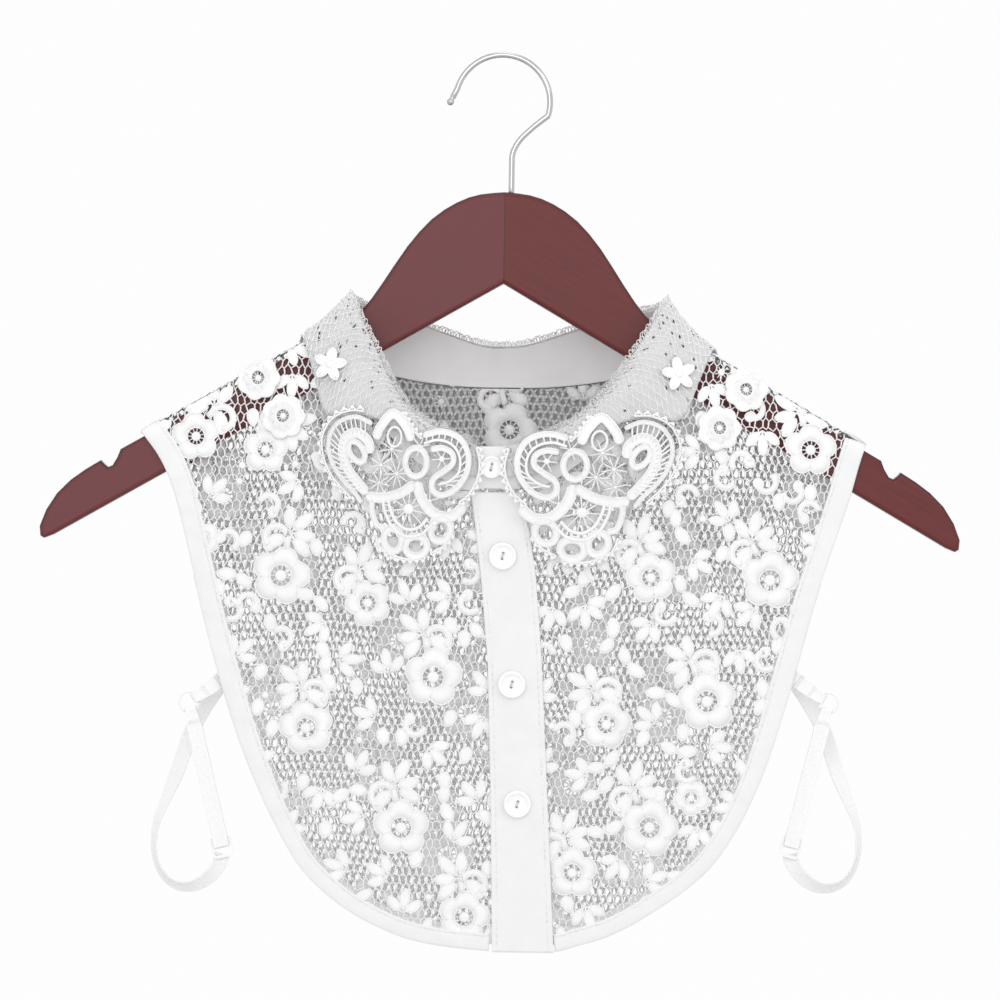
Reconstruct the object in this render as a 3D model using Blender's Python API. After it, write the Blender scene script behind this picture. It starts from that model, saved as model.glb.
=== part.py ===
"""A lace dickey collar, hung on a wooden coat hanger.

Metres, +Z up. The origin is where a rail touches the inside of the hook's top.
The wearer's front faces -Y, so the wearer's left is at +X.
The tables and sizes below are in millimetres and become metres when a mesh is made.
"""
import math

import bmesh
import bpy
import numpy as np
from mathutils import Matrix, Vector
from mathutils.bvhtree import BVHTree

MM = 0.001
GAP = 0.35
SEAM_GAP = 0.45

# Cloth thicknesses
LACE = 1.0
COTTON = 1.2
FALL_WALL = 1.2
MOTIF_WALL = 1.5
BINDING_WALL = 1.9
BINDING_INSIDE = 0.35

# The hanger: two arms that slope down from a V, with an arch over the middle
ARM_SLOPE = 0.577
ARM_UNDER_AT_CENTRE = -108.5
ARM_DEPTH_UPRIGHT = 23.1
HANGER_THICKNESS = 12.0
HANGER_ROUNDING = 2.6
HANGER_HALF_SPAN = 220.5
NOTCH_CENTRE = 187.0
NOTCH_WIDTH = 9.4
NOTCH_DEPTH = 5.6
HANGER_ARCH = [
    # across, height
    (0.0, -64.6),
    (12.0, -65.9),
    (23.0, -69.9),
    (35.0, -78.1),
    (46.5, -91.4),
    (58.0, -108.9),
    (68.0, -122.6),
    (79.0, -131.4),
]

# The hook: a shaft in a bored hole, an S bend, a round and a small ball at the tip
HOOK_WIRE = 3.0
HOOK_HOLE = 3.8
SHAFT_X = 3.0
SHAFT_FOOT = -86.0
HOOK_HOLE_FOOT = -88.0
HOOK_ROUND_RADIUS = 22.7
HOOK_ROUND_X = -1.8
HOOK_TIP_BALL = 3.8

# The shoulders: how high the cloth stands over the arms, and its bend over them
CREST_LIFT = 4.0
SOFT_TURN = 12.0
BEND_STEP = 2.7
BEND_ROWS = 6
SMALLEST_STEP = 0.12
ALONG_SHOULDER = 9
ALONG_NECK = 13
PANEL_ROWS = 11
BEND_RADIUS = 6.9

# How far front and back stand off the hanger, at the neck and at the hem
FRONT_SWELL_NECK = 35.0
BACK_SWELL_NECK = 31.0
SWELL_HEM = 12.0
SWELL_HALF_WIDTH = 150.0
SWELL_MIDDLE = 4.0
SWELL_FADE = 30.0
NECK_LEVEL = -190.0
HEM_LEVEL = -427.0

FOLDS = [
    # x at the chest, x at the hem, width, rise
    (-88.0, -78.0, 9.0, 1.7),
    (-66.0, -52.0, 8.0, -1.5),
    (52.0, 47.0, 9.0, 1.6),
    (74.0, 70.0, 8.0, -1.4),
    (112.0, 98.0, 10.0, 1.2),
]

# The cut edge of front and back, armholes and hem in one line
OUTLINE = [
    # height, left edge in the picture, right edge in the picture
    (-195.0, -163.0, 171.0),
    (-210.0, -156.5, 167.0),
    (-230.0, -151.0, 160.5),
    (-260.0, -143.6, 151.0),
    (-290.0, -135.5, 143.0),
    (-320.0, -126.0, 134.5),
    (-345.0, -116.3, 126.0),
    (-370.0, -104.2, 114.0),
    (-390.0, -91.5, 99.0),
    (-407.0, -72.5, 77.0),
    (-418.0, -52.0, 57.5),
    (-424.0, -31.5, 40.0),
    (-427.0, -2.0, 28.0),
]
SHOULDER_TIPS = (-172.5, 174.5)
FRONT_ABOVE_CREST = -4.0
BACK_ABOVE_CREST = 3.6
BINDING_WIDTH_ARMHOLE = 10.5
BINDING_WIDTH_HEM = 8.4

PLACKET = [
    # height, left edge, right edge
    (-208.0, -13.9, 9.4),
    (-228.0, -11.0, 14.3),
    (-249.0, -8.4, 17.5),
    (-289.0, -4.7, 20.8),
    (-356.0, -2.2, 24.7),
    (-427.5, -0.6, 28.7),
]
PANEL_UNDER_PLACKET = 8.0

# The collar, from the centre front round to the centre back. The fold is its top line,
# the seam joins stand and panels, the edge is the outer line of the fall and its motifs.
# An edge or seam height of None is on the shoulder's crest.
COLLAR = [
    # middle, fold x, fold y, fold z, seam x, seam z, edge x, edge z, share in crinkled lace
    (-4.2, 6.7, -42.0, -187.0, 7.7, -208.6, 11.2, -219.0, 0.30),
    (-1.8, 16.0, -41.5, -183.5, 19.0, -206.8, 24.0, -240.0, 0.36),
    (-1.5, 29.5, -39.5, -179.0, 35.0, -197.5, 42.0, -245.0, 0.36),
    (-1.5, 41.5, -35.5, -172.0, 49.0, -185.5, 60.0, -234.0, 0.40),
    (-0.5, 52.0, -29.5, -160.0, 61.0, -171.0, 77.0, -211.0, 0.55),
    (1.0, 60.5, -22.0, -145.5, 71.0, -156.0, 86.0, -185.0, 0.85),
    (2.0, 69.0, -12.5, -127.5, 79.0, -141.5, 89.0, -160.0, 1.00),
    (2.7, 74.5, 0.0, -116.5, 84.5, None, 98.0, None, 1.00),
    (2.5, 71.0, 10.5, -119.0, 80.0, -140.5, 102.0, -162.0, 1.00),
    (1.5, 58.0, 21.0, -122.5, 68.0, -149.0, 88.0, -184.0, 1.00),
    (0.5, 36.0, 31.0, -129.5, 45.0, -155.0, 58.0, -198.0, 1.00),
    (0.0, 13.0, 36.0, -137.0, 18.0, -157.8, 20.0, -204.0, 1.00),
    (0.0, 0.0, 36.5, -138.5, 0.0, -158.0, 0.0, -205.0, 1.00),
]
SIDE_ROW = 7
STAND_LAP = 9.4
STAND_LAP_FOOT = -207.4
STAND_OVER_SEAM = 1.25
FOLD_ROOM = 0.7
FALL_STAND_OFF = 4.0
FALL_OVER_PANEL = 1.4
OVER_FALL = 1.4

MOTIF_RIGHT_EDGE = [
    # across, height
    (2.5, -189.5),
    (1.6, -199.0),
    (6.5, -212.0),
    (13.5, -223.0),
    (17.0, -232.0),
    (26.0, -240.0),
    (37.0, -242.0),
    (48.5, -239.5),
    (56.0, -233.5),
    (60.0, -224.5),
    (72.0, -211.0),
    (81.5, -200.0),
    (85.5, -186.0),
    (80.0, -176.0),
    (68.0, -176.5),
    (58.0, -182.0),
    (50.0, -174.5),
    (40.0, -178.0),
    (28.0, -185.0),
    (14.0, -186.5),
]
MOTIF_RIGHT_HOLES = [
    # across, height, half width, half height, turn in degrees
    (20.8, -230.6, 2.6, 3.8, 55.0),
    (33.2, -236.4, 3.0, 4.2, 8.0),
    (45.4, -231.8, 2.7, 3.6, -35.0),
    (53.2, -221.8, 2.5, 4.4, -20.0),
    (36.0, -198.6, 4.3, 4.6, 0.0),
    (64.5, -192.0, 2.4, 5.6, -35.0),
    (48.6, -182.6, 3.0, 4.8, 0.0),
    (13.6, -197.4, 2.9, 4.4, 12.0),
    (20.6, -207.6, 3.0, 2.5, -20.0),
    (35.6, -220.6, 4.6, 2.3, 4.0),
    (50.0, -202.0, 3.2, 2.6, 0.0),
    (73.6, -201.0, 2.6, 4.6, -48.0),
    (58.4, -209.0, 3.4, 2.4, 28.0),
]
MOTIF_LEFT_EDGE = [
    # across, height
    (-10.6, -190.0),
    (-11.2, -201.0),
    (-13.6, -214.5),
    (-19.0, -227.5),
    (-28.5, -239.0),
    (-39.0, -242.5),
    (-50.5, -240.0),
    (-57.8, -232.0),
    (-61.0, -220.0),
    (-71.5, -210.5),
    (-80.0, -198.0),
    (-85.5, -183.0),
    (-82.0, -172.5),
    (-72.0, -172.0),
    (-62.0, -178.5),
    (-52.5, -174.5),
    (-43.0, -179.0),
    (-31.0, -185.5),
    (-20.0, -187.5),
]
MOTIF_LEFT_HOLES = [
    # across, height, half width, half height, turn in degrees
    (-24.5, -229.0, 2.5, 3.8, -40.0),
    (-35.4, -236.2, 2.9, 4.2, -6.0),
    (-47.6, -232.2, 2.7, 3.7, 32.0),
    (-54.6, -222.4, 2.5, 4.2, 18.0),
    (-34.0, -199.4, 3.6, 4.6, 0.0),
    (-62.8, -191.0, 2.3, 5.4, 35.0),
    (-50.6, -183.4, 2.8, 4.6, 0.0),
    (-19.8, -198.0, 2.6, 4.2, -10.0),
    (-24.4, -211.4, 2.8, 2.4, 20.0),
    (-38.4, -219.6, 4.4, 2.3, -4.0),
    (-48.4, -203.0, 3.0, 2.6, 0.0),
    (-73.2, -196.4, 2.5, 4.4, 40.0),
    (-59.0, -207.4, 3.2, 2.4, -28.0),
]

FLOWERS = [
    # name, across, height
    ("applique_flower_1", -116.0, -156.5),
    ("applique_flower_2", -103.0, -174.5),
    ("applique_flower_3", 116.0, -158.5),
    ("applique_flower_4", 102.8, -177.0),
]
FLOWER_RADIUS = 10.4
FLOWER_SCALLOPS = 7
STARS = [
    # name, across, height
    ("applique_star_1", -82.0, -149.0),
    ("applique_star_2", 84.0, -151.0),
]
STAR_RADIUS = 7.2

BUTTONS = [
    # name, across, height, radius
    ("button_1", 1.6, -238.2, 6.5),
    ("button_2", 6.8, -299.1, 6.5),
    ("button_3", 10.3, -356.0, 6.5),
    ("button_4", -4.4, -196.8, 5.3),
]
BUTTON_THICKNESS = 2.6
BUTTON_HOLE_RADIUS = 0.9
BUTTON_HOLE_SPACING = 3.2

# The side straps of the wearer's right; the wearer's left ones are mirrored
MIRROR_SUM = 11.0
MIRROR_RAISE = 4.0
WEBBING_WIDTH = 7.2
WEBBING_AT_RING = 5.0
WEBBING_WALL = 0.8
RING_CENTRE = (-147.4, -8.5, -311.0)
RING_RADIUS = 4.8
RING_WIRE = 1.1
TAB_SEWN_END = (-124.5, -8.9, -294.6)
SLIDER_CENTRE = (-130.6, -8.8, -380.0)
SLIDER_LENGTH = 10.7
SLIDER_WIDTH = 10.2
SLIDER_WALL = 1.3
SLIDER_WINDOW = 2.9
SIDE_LOOP = [
    # x, y, z, turn of the webbing's width away from the picture's plane in degrees
    (-130.2, -7.2, -383.5, 0.0),
    (-131.6, -7.2, -388.0, 10.0),
    (-136.2, -6.2, -394.4, 26.0),
    (-143.0, -4.6, -398.9, 40.0),
    (-150.6, -2.0, -399.8, 52.0),
    (-157.6, 0.6, -396.4, 60.0),
    (-162.4, 3.2, -389.0, 66.0),
    (-164.0, 5.2, -379.0, 66.0),
    (-162.6, 7.0, -368.5, 60.0),
    (-158.9, 8.2, -359.0, 48.0),
    (-154.8, 9.2, -348.8, 30.0),
    (-151.0, 9.6, -338.0, 12.0),
    (-147.0, 9.2, -326.0, 0.0),
    (-140.6, 9.0, -314.0, 0.0),
    (-133.5, 9.0, -303.4, 0.0),
    (-126.0, 9.6, -295.0, 0.0),
]

COLOURS = {
    # finish: red, green, blue, roughness, metallic
    "lace": (0.86, 0.86, 0.86, 0.85, 0.0),
    "cotton": (0.90, 0.90, 0.90, 0.80, 0.0),
    "guipure": (0.92, 0.92, 0.92, 0.60, 0.0),
    "webbing": (0.90, 0.90, 0.91, 0.55, 0.0),
    "button": (0.93, 0.93, 0.92, 0.25, 0.0),
    "hardware": (0.90, 0.90, 0.90, 0.35, 0.0),
    "wood": (0.16, 0.05, 0.05, 0.35, 0.0),
    "chrome": (0.75, 0.75, 0.77, 0.12, 1.0),
}


def clear_scene():
    for thing in list(bpy.data.objects):
        bpy.data.objects.remove(thing, do_unlink=True)


def material(finish):
    """The plain finish of a piece."""
    known = bpy.data.materials.get(finish)
    if known:
        return known
    red, green, blue, roughness, metallic = COLOURS[finish]
    made = bpy.data.materials.new(finish)
    made.use_nodes = True
    shader = made.node_tree.nodes["Principled BSDF"]
    shader.inputs["Base Color"].default_value = (red, green, blue, 1.0)
    shader.inputs["Roughness"].default_value = roughness
    shader.inputs["Metallic"].default_value = metallic
    return made


def add_object(name, points, faces, finish):
    """One closed body from points in millimetres, its faces turned outward."""
    mesh = bpy.data.meshes.new(name)
    mesh.from_pydata([tuple(float(c) * MM for c in p) for p in points], [], faces)
    bm = bmesh.new()
    bm.from_mesh(mesh)
    bmesh.ops.recalc_face_normals(bm, faces=bm.faces)
    bm.to_mesh(mesh)
    bm.free()
    mesh.materials.append(material(finish))
    thing = bpy.data.objects.new(name, mesh)
    bpy.context.scene.collection.objects.link(thing)
    mesh.shade_smooth()
    mesh.set_sharp_from_angle(angle=math.radians(40))
    return thing


def add_cutter(name, points, faces):
    cutter = add_object(name, points, faces, "cotton")
    cutter.hide_render = True
    cutter.display_type = "WIRE"
    return cutter


def cut(thing, cutter, operation="DIFFERENCE"):
    tool = thing.modifiers.new(operation.title(), "BOOLEAN")
    tool.object = cutter
    tool.operation = operation
    tool.solver = "EXACT"


def through(rows, steps):
    """A smooth line through rows of numbers, with so many steps between two of them."""
    rows = np.array(rows, dtype=float)
    padded = np.vstack([2 * rows[0] - rows[1], rows, 2 * rows[-1] - rows[-2]])
    line = []
    for i in range(1, len(padded) - 2):
        before, here, there, after = padded[i - 1:i + 3]
        for step in range(steps):
            u = step / steps
            line.append(0.5 * (2 * here + (there - before) * u
                               + (2 * before - 5 * here + 4 * there - after) * u ** 2
                               + (3 * here - before - 3 * there + after) * u ** 3))
    line.append(rows[-1])
    return np.array(line)


def resample(line, count):
    """The same line with a number of points evenly spaced along it."""
    line = np.array(line, dtype=float)
    steps = np.linalg.norm(np.diff(line, axis=0), axis=1)
    along = np.concatenate([[0.0], np.cumsum(steps)])
    wanted = np.linspace(0.0, along[-1], count)
    return np.stack([np.interp(wanted, along, line[:, k]) for k in range(line.shape[1])], axis=1)


def wall(name, inside, outside, finish):
    """A cloth wall between two grids of points that match one another."""
    inside = np.array(inside)
    outside = np.array(outside)
    rows, columns = inside.shape[:2]
    points = list(inside.reshape(-1, 3)) + list(outside.reshape(-1, 3))
    count = rows * columns

    def inner(row, column):
        return row * columns + column

    def outer(row, column):
        return count + row * columns + column

    faces = []
    for row in range(rows - 1):
        for column in range(columns - 1):
            faces.append((inner(row, column), inner(row, column + 1),
                          inner(row + 1, column + 1), inner(row + 1, column)))
            faces.append((outer(row, column), outer(row + 1, column),
                          outer(row + 1, column + 1), outer(row, column + 1)))
    for row in range(rows - 1):
        for column in (0, columns - 1):
            faces.append((inner(row, column), inner(row + 1, column),
                          outer(row + 1, column), outer(row, column)))
    for column in range(columns - 1):
        for row in (0, rows - 1):
            faces.append((inner(row, column), outer(row, column),
                          outer(row, column + 1), inner(row, column + 1)))
    return add_object(name, points, faces, finish)


def loft(name, sections, finish, ring=False):
    """A body through closed sections; a ring joins the last section to the first."""
    size = len(sections[0])
    points = [p for section in sections for p in section]
    faces = []
    for i in range(len(sections) if ring else len(sections) - 1):
        j = (i + 1) % len(sections)
        for k in range(size):
            m = (k + 1) % size
            faces.append((i * size + k, i * size + m, j * size + m, j * size + k))
    if not ring:
        faces.append(tuple(range(size)))
        faces.append(tuple((len(sections) - 1) * size + k for k in range(size)))
    return add_object(name, points, faces, finish)


def unit(vector):
    vector = np.array(vector, dtype=float)
    return vector / np.linalg.norm(vector)


def arm_top(x):
    return ARM_UNDER_AT_CENTRE + ARM_DEPTH_UPRIGHT - ARM_SLOPE * abs(x)


def arm_line(x):
    """The line of the arms' tops with a soft turn at the middle, where cloth has no arm."""
    return ARM_UNDER_AT_CENTRE + ARM_DEPTH_UPRIGHT - ARM_SLOPE * (math.hypot(x, SOFT_TURN) - 0.6)


def bend_centre(x):
    """Height of the centre of the cloth's bend over an arm."""
    return arm_line(x) + CREST_LIFT - LACE - BEND_RADIUS


def crest(x):
    """Height of the shoulder's crest in the flat pattern, with its bend laid out upright."""
    return bend_centre(x) + BEND_RADIUS * math.pi / 2


def down_from_crest(x, z, side):
    """Distance down the cloth from the shoulder's crest, negative on the front."""
    centre = bend_centre(x)
    if z is None or z >= centre + BEND_RADIUS:
        return 0.0
    if z > centre:
        return side * BEND_RADIUS * math.acos((z - centre) / BEND_RADIUS)
    return side * (crest(x) - z)


def swell(x, down, z):
    """How far a panel stands off the plane of the hanger, with its soft folds."""
    side = -1.0 if down < 0 else 1.0
    neck = FRONT_SWELL_NECK if side < 0 else BACK_SWELL_NECK
    depth = np.clip((NECK_LEVEL - z) / (NECK_LEVEL - HEM_LEVEL), 0.0, 1.0)
    size = neck + (SWELL_HEM - neck) * depth
    across = max(0.0, 1.0 - ((x - SWELL_MIDDLE) / SWELL_HALF_WIDTH) ** 2)
    stand_off = size * across * (1.0 - math.exp(-(down / SWELL_FADE) ** 2))
    for chest_x, hem_x, width, rise in FOLDS:
        middle = chest_x + (hem_x - chest_x) * depth
        start = 1.0 / (1.0 + math.exp((z + 245.0) / 9.0))
        stand_off += rise * start * math.exp(-((side * x + middle) / width) ** 2)
    return side * stand_off


def cloth(x, down, out=0.0):
    """A point of the front or back, moved out from its inner side."""
    def surface(x, down):
        turn = abs(down) / BEND_RADIUS
        side = -1.0 if down < 0 else 1.0
        if turn < math.pi / 2:
            y = side * BEND_RADIUS * math.sin(turn)
            z = bend_centre(x) + BEND_RADIUS * math.cos(turn)
        else:
            y = side * BEND_RADIUS
            z = bend_centre(x) - (abs(down) - BEND_RADIUS * math.pi / 2)
        return np.array([x, y + swell(x, down, z), z])

    here = surface(x, down)
    if out == 0.0:
        return here
    step = 0.2
    across = surface(x + step, down) - surface(x - step, down)
    along = surface(x, down + step) - surface(x, down - step)
    return here + out * unit(np.cross(along, across)) * -1.0


def front(x, z, out=0.0):
    return cloth(x, down_from_crest(x, z, -1), out)


def on_panel(x, level, side, out=0.0):
    """A point of the front or back from its place in the flat pattern."""
    return cloth(x, side * (crest(x) - level), out)


def collar_rows():
    """Fold, seam, edge and crinkled share, from the picture's left end round to its right."""
    rows = []
    for sign, order in ((-1, range(len(COLLAR))), (1, range(len(COLLAR) - 2, -1, -1))):
        for i in order:
            middle, fold_x, fold_y, fold_z, seam_x, seam_z, edge_x, edge_z, share = COLLAR[i]
            side = -1 if i < SIDE_ROW else 1
            seam = middle + sign * seam_x
            edge = middle + sign * edge_x
            rows.append((middle + sign * fold_x, fold_y, fold_z,
                         seam, down_from_crest(seam, seam_z, side),
                         edge, down_from_crest(edge, edge_z, side), share))
    return rows


COLLAR_LINE = through(collar_rows(), 5)


def neck_seam(side):
    """The neck seam on the front (-1) or back (1) as across and down, sorted across."""
    seam = [(row[3], row[4]) for row in COLLAR_LINE if row[4] * side >= 0.0]
    return np.array(sorted(seam))


def shoulder_seam(x, side):
    """Height of a panel's shoulder seam in the flat pattern."""
    return crest(x) + (FRONT_ABOVE_CREST if side < 0 else BACK_ABOVE_CREST)


def outline(side):
    """The cut edge in the flat pattern, from one shoulder tip round the hem to the other."""
    left, right = SHOULDER_TIPS
    line = [(left, shoulder_seam(left, side))]
    line += [(row[1], row[0]) for row in OUTLINE]
    line += [(row[2], row[0]) for row in reversed(OUTLINE)]
    line += [(right, shoulder_seam(right, side))]
    return resample(through(line, 6), 400)


def moved_in(line, side, gap):
    """The outline moved in by the width of the binding and a gap."""
    tangent = np.gradient(line, axis=0)
    inward = np.stack([-tangent[:, 1], tangent[:, 0]], axis=1)
    inward /= np.linalg.norm(inward, axis=1)[:, None]
    lower = np.clip((line[:, 1] + 300.0) / -90.0, 0.0, 1.0)
    width = BINDING_WIDTH_ARMHOLE + (BINDING_WIDTH_HEM - BINDING_WIDTH_ARMHOLE) * lower + gap
    inner = line + inward * width[:, None]
    seam = np.array([shoulder_seam(x, side) for x in inner[:, 0]])
    inner[:, 1] = np.minimum(inner[:, 1], seam)
    return inner


def at_share(line, share):
    """The point a share of the way through a line's points."""
    place = share * (len(line) - 1)
    k = min(int(place), len(line) - 2)
    return line[k] + (line[k + 1] - line[k]) * (place - k)


def close_then_wide(length, count):
    """Shares of a length: close together where the cloth bends over an arm, wider below."""
    spots = []
    for k in range(count + 1):
        spot = BEND_STEP * k
        if k > BEND_ROWS and length > BEND_STEP * count:
            rest = (k - BEND_ROWS) / (count - BEND_ROWS)
            spot = BEND_STEP * BEND_ROWS + (length - BEND_STEP * BEND_ROWS) * rest
        spots.append(min(spot, length - SMALLEST_STEP * (count - k)))
    return np.clip(np.array(spots), 0.0, length) / length


def hem_share(x):
    """Where the front's outline passes a place across the hem, as a share of its length."""
    line = outline(-1)
    low = line[:, 1] < HEM_LEVEL + 6.0
    return float(np.interp(x, line[low, 0], np.arange(len(line))[low])) / (len(line) - 1)


def panel_top(side, tip_x, end_x, along_shoulder, along_neck):
    """A panel's upper edge in the flat pattern: from a shoulder tip to a place on the neck seam."""
    sign = 1.0 if tip_x > 0 else -1.0
    neck = [(x, min(crest(x) - side * down, shoulder_seam(x, side))) for x, down in neck_seam(side)]
    neck = [p for p in neck if p[1] < shoulder_seam(p[0], side) - 0.01 and (p[0] - end_x) * sign >= 0.0]
    neck.sort(key=lambda p: -sign * p[0])
    corner_x = neck[0][0] + sign * 0.4
    corner = (corner_x, shoulder_seam(corner_x, side))
    neck_line = resample([corner] + neck, 200)
    points = []
    for share in close_then_wide(abs(corner_x - tip_x), along_shoulder):
        x = tip_x + (corner_x - tip_x) * share
        points.append((x, shoulder_seam(x, side)))
    for k in range(1, along_neck + 1):
        points.append(tuple(at_share(neck_line, (k / along_neck) ** 1.2)))
    return points


def panel(name, side, top, feet, rows):
    """A lace panel: columns from its neck or shoulder seam down to its binding."""
    inside = []
    outside = []
    for (top_x, top_level), (foot_x, foot_level) in zip(top, feet):
        length = math.hypot(foot_x - top_x, foot_level - top_level)
        inside.append([])
        outside.append([])
        for share in close_then_wide(length, rows):
            x = top_x + (foot_x - top_x) * share
            level = top_level + (foot_level - top_level) * share
            level = min(level, shoulder_seam(x, side))
            inside[-1].append(on_panel(x, level, side))
            outside[-1].append(on_panel(x, level, side, LACE))
    return wall(name, inside, outside, "lace")


def binding(name, side, shares):
    """The cotton binding along a stretch of the cut edge, a little proud of the lace."""
    line = outline(side)
    inner = moved_in(line, side, 0.0)
    inside = []
    outside = []
    for share in shares:
        edge = at_share(line, share)
        back = at_share(inner, share)
        low, high = [], []
        for across in (0.0, 0.5, 1.0):
            x, level = edge + (back - edge) * across
            level = min(level, shoulder_seam(x, side))
            low.append(on_panel(x, level, side, -BINDING_INSIDE))
            crown = BINDING_WALL - BINDING_INSIDE - 0.3 * (across != 0.5)
            high.append(on_panel(x, level, side, crown))
        inside.append(low)
        outside.append(high)
    return wall(name, inside, outside, "cotton")


def front_half(name, binding_name, tip_share, hem_x, split_top, split_foot):
    """One lace front and its binding, which share their stations along the cut edge."""
    spread = close_then_wide(430.0, ALONG_SHOULDER + ALONG_NECK)
    stations = tip_share + (hem_share(hem_x) - tip_share) * spread
    binding(binding_name, -1, stations)
    inner = moved_in(outline(-1), -1, SEAM_GAP)
    feet = [at_share(inner, share) for share in stations[1:]]
    feet[0] = at_share(inner, tip_share + (stations[1] - tip_share) * 0.8)
    feet.append(np.array([split_foot, feet[-1][1]]))
    tip_x = at_share(inner, tip_share)[0]
    tip_x -= math.copysign(0.6, tip_x)
    top = panel_top(-1, tip_x, split_top, ALONG_SHOULDER, ALONG_NECK)
    return panel(name, -1, top, feet, PANEL_ROWS)


def back_whole():
    """The lace back and its binding, which share their stations along the cut edge."""
    half = 0.5 * close_then_wide(430.0, ALONG_SHOULDER + ALONG_NECK)
    stations = np.concatenate([half, 1.0 - half[-2::-1]])
    binding("binding_back", 1, stations)
    inner = moved_in(outline(1), 1, SEAM_GAP)
    feet = [at_share(inner, share) for share in stations]
    feet[0] = at_share(inner, stations[1] * 0.8)
    feet[-1] = at_share(inner, 1.0 - stations[1] * 0.8)
    left = panel_top(1, inner[0][0] + 0.6, 0.0, ALONG_SHOULDER, ALONG_NECK)
    right = panel_top(1, inner[-1][0] - 0.6, 0.0, ALONG_SHOULDER, ALONG_NECK)
    return panel("back_panel", 1, left + right[-2::-1], feet, PANEL_ROWS)


def placket():
    """The button band, laid on the edges of both fronts."""
    table = np.array(sorted(PLACKET))
    heights = np.linspace(PLACKET[0][0] - GAP, PLACKET[-1][0], 16)
    inside = []
    outside = []
    for z in heights:
        left = np.interp(z, table[:, 0], table[:, 1])
        right = np.interp(z, table[:, 0], table[:, 2])
        across = np.linspace(left, right, 5)
        inside.append([front(x, z, LACE + GAP) for x in across])
        outside.append([front(x, z, LACE + GAP + COTTON) for x in across])
    return wall("front_placket", inside, outside, "cotton")


def outward(row_before, row, row_after):
    """The direction out of the collar at a station of its fold."""
    along = row_after[:3] - row_before[:3]
    up = row[:3] - cloth(row[3], row[4])
    return unit(np.cross(up, along))


def collar_station(i):
    """The stand's foot, its top and the way out of it at one station."""
    row = COLLAR_LINE[i]
    before = COLLAR_LINE[max(i - 1, 0)]
    after = COLLAR_LINE[min(i + 1, len(COLLAR_LINE) - 1)]
    foot = cloth(row[3], row[4])
    return foot, row[:3], outward(before, row, after)


def over_arm(i):
    """Whether a station of the collar is where the cloth bends over an arm."""
    return abs(COLLAR_LINE[i][6]) < 26.0 or abs(COLLAR_LINE[i][4]) < 20.0


def collar_stand():
    """The cotton band that stands up round the neck, its right end lapped over its left."""
    stations = []
    for x in (STAND_LAP - GAP, (STAND_LAP + COLLAR_LINE[0][0]) / 2):
        foot = front(x, STAND_LAP_FOOT)
        top = np.array([x, COLLAR[0][2], COLLAR[0][3]])
        stations.append((foot, top, np.array([0.0, -1.0, 0.0])))
    last = len(COLLAR_LINE) - 1
    for i in range(last + 1):
        lapped = i > last / 2 and COLLAR_LINE[i][0] < STAND_LAP
        if (i % 2 == 0 or over_arm(i)) and not lapped:
            stations.append(collar_station(i))
    inside = []
    outside = []
    for foot, top, out in stations:
        foot = foot + unit(top - foot) * STAND_OVER_SEAM
        low, high = [], []
        for share in (0.0, 0.5, 1.0):
            here = foot + (top - foot) * share + out * 0.8 * math.sin(math.pi * share)
            low.append(here)
            high.append(here + out * COTTON)
        inside.append(low)
        outside.append(high)
    return wall("collar_stand", inside, outside, "cotton")


def fall_line(i, shares, out):
    """Points of the fall from the fold to its edge at one station of the collar."""
    foot, top, way_out = collar_station(i)
    row = COLLAR_LINE[i]
    begin = top + way_out * (COTTON + FOLD_ROOM) + np.array([0.0, 0.0, 0.5])
    over_seam = cloth(row[3], row[4], LACE + FALL_STAND_OFF)
    end = cloth(row[5], row[6], LACE + FALL_OVER_PANEL)
    pull = 2.0 * over_seam - 0.5 * (begin + end)
    points = []
    for share in shares:
        here = (1 - share) ** 2 * begin + 2 * share * (1 - share) * pull + share ** 2 * end
        ahead = share + 0.02
        there = (1 - ahead) ** 2 * begin + 2 * ahead * (1 - ahead) * pull + ahead ** 2 * end
        points.append((here, there - here))
    before = COLLAR_LINE[max(i - 1, 0)]
    after = COLLAR_LINE[min(i + 1, len(COLLAR_LINE) - 1)]
    along = after[:3] - before[:3]
    moved = []
    for here, down in points:
        moved.append(here + out * unit(np.cross(along, down)))
    return moved


def collar_fall():
    """The crinkled lace, turned down from the fold over stand and shoulders."""
    inside = []
    outside = []
    for i in range(len(COLLAR_LINE)):
        if i % 2 and not over_arm(i):
            continue
        shares = np.linspace(0.0, COLLAR_LINE[i][7], 5)
        ruck = [0.15 * math.sin(2.4 * i + 5.0 * k) for k in range(5)]
        inside.append(fall_line(i, shares, 0.0))
        outside.append([low + (high - low) * (1.0 + bump)
                        for low, high, bump in zip(inside[-1], fall_line(i, shares, FALL_WALL), ruck)])
    return wall("collar_fall", inside, outside, "lace")


def collar_skin():
    """The front of the turned-down collar's surface, for what is sewn on it."""
    shares = np.linspace(0.0, 1.12, 15)
    halves = []
    for order in (range(len(COLLAR_LINE) // 2), range(len(COLLAR_LINE) // 2, len(COLLAR_LINE))):
        halves.append([fall_line(i, shares, FALL_WALL) for i in order if COLLAR_LINE[i][1] < 3.0])
    points = []
    faces = []
    size = len(shares)
    for grid in halves:
        base = len(points)
        points += [Vector(p) for line in grid for p in line]
        for i in range(len(grid) - 1):
            for k in range(size - 1):
                a = base + i * size + k
                faces.append((a, a + 1, a + size + 1, a + size))
    return BVHTree.FromPolygons(points, faces)


def depth_on(skin, x, z):
    """How far forward a surface lies at a place of the picture."""
    hit = skin.ray_cast(Vector((x, -200.0, z)), Vector((0.0, 1.0, 0.0)))
    if hit[0] is not None:
        return hit[0].y
    near = skin.find_nearest(Vector((x, -42.0, z)))
    return near[0].y


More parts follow.
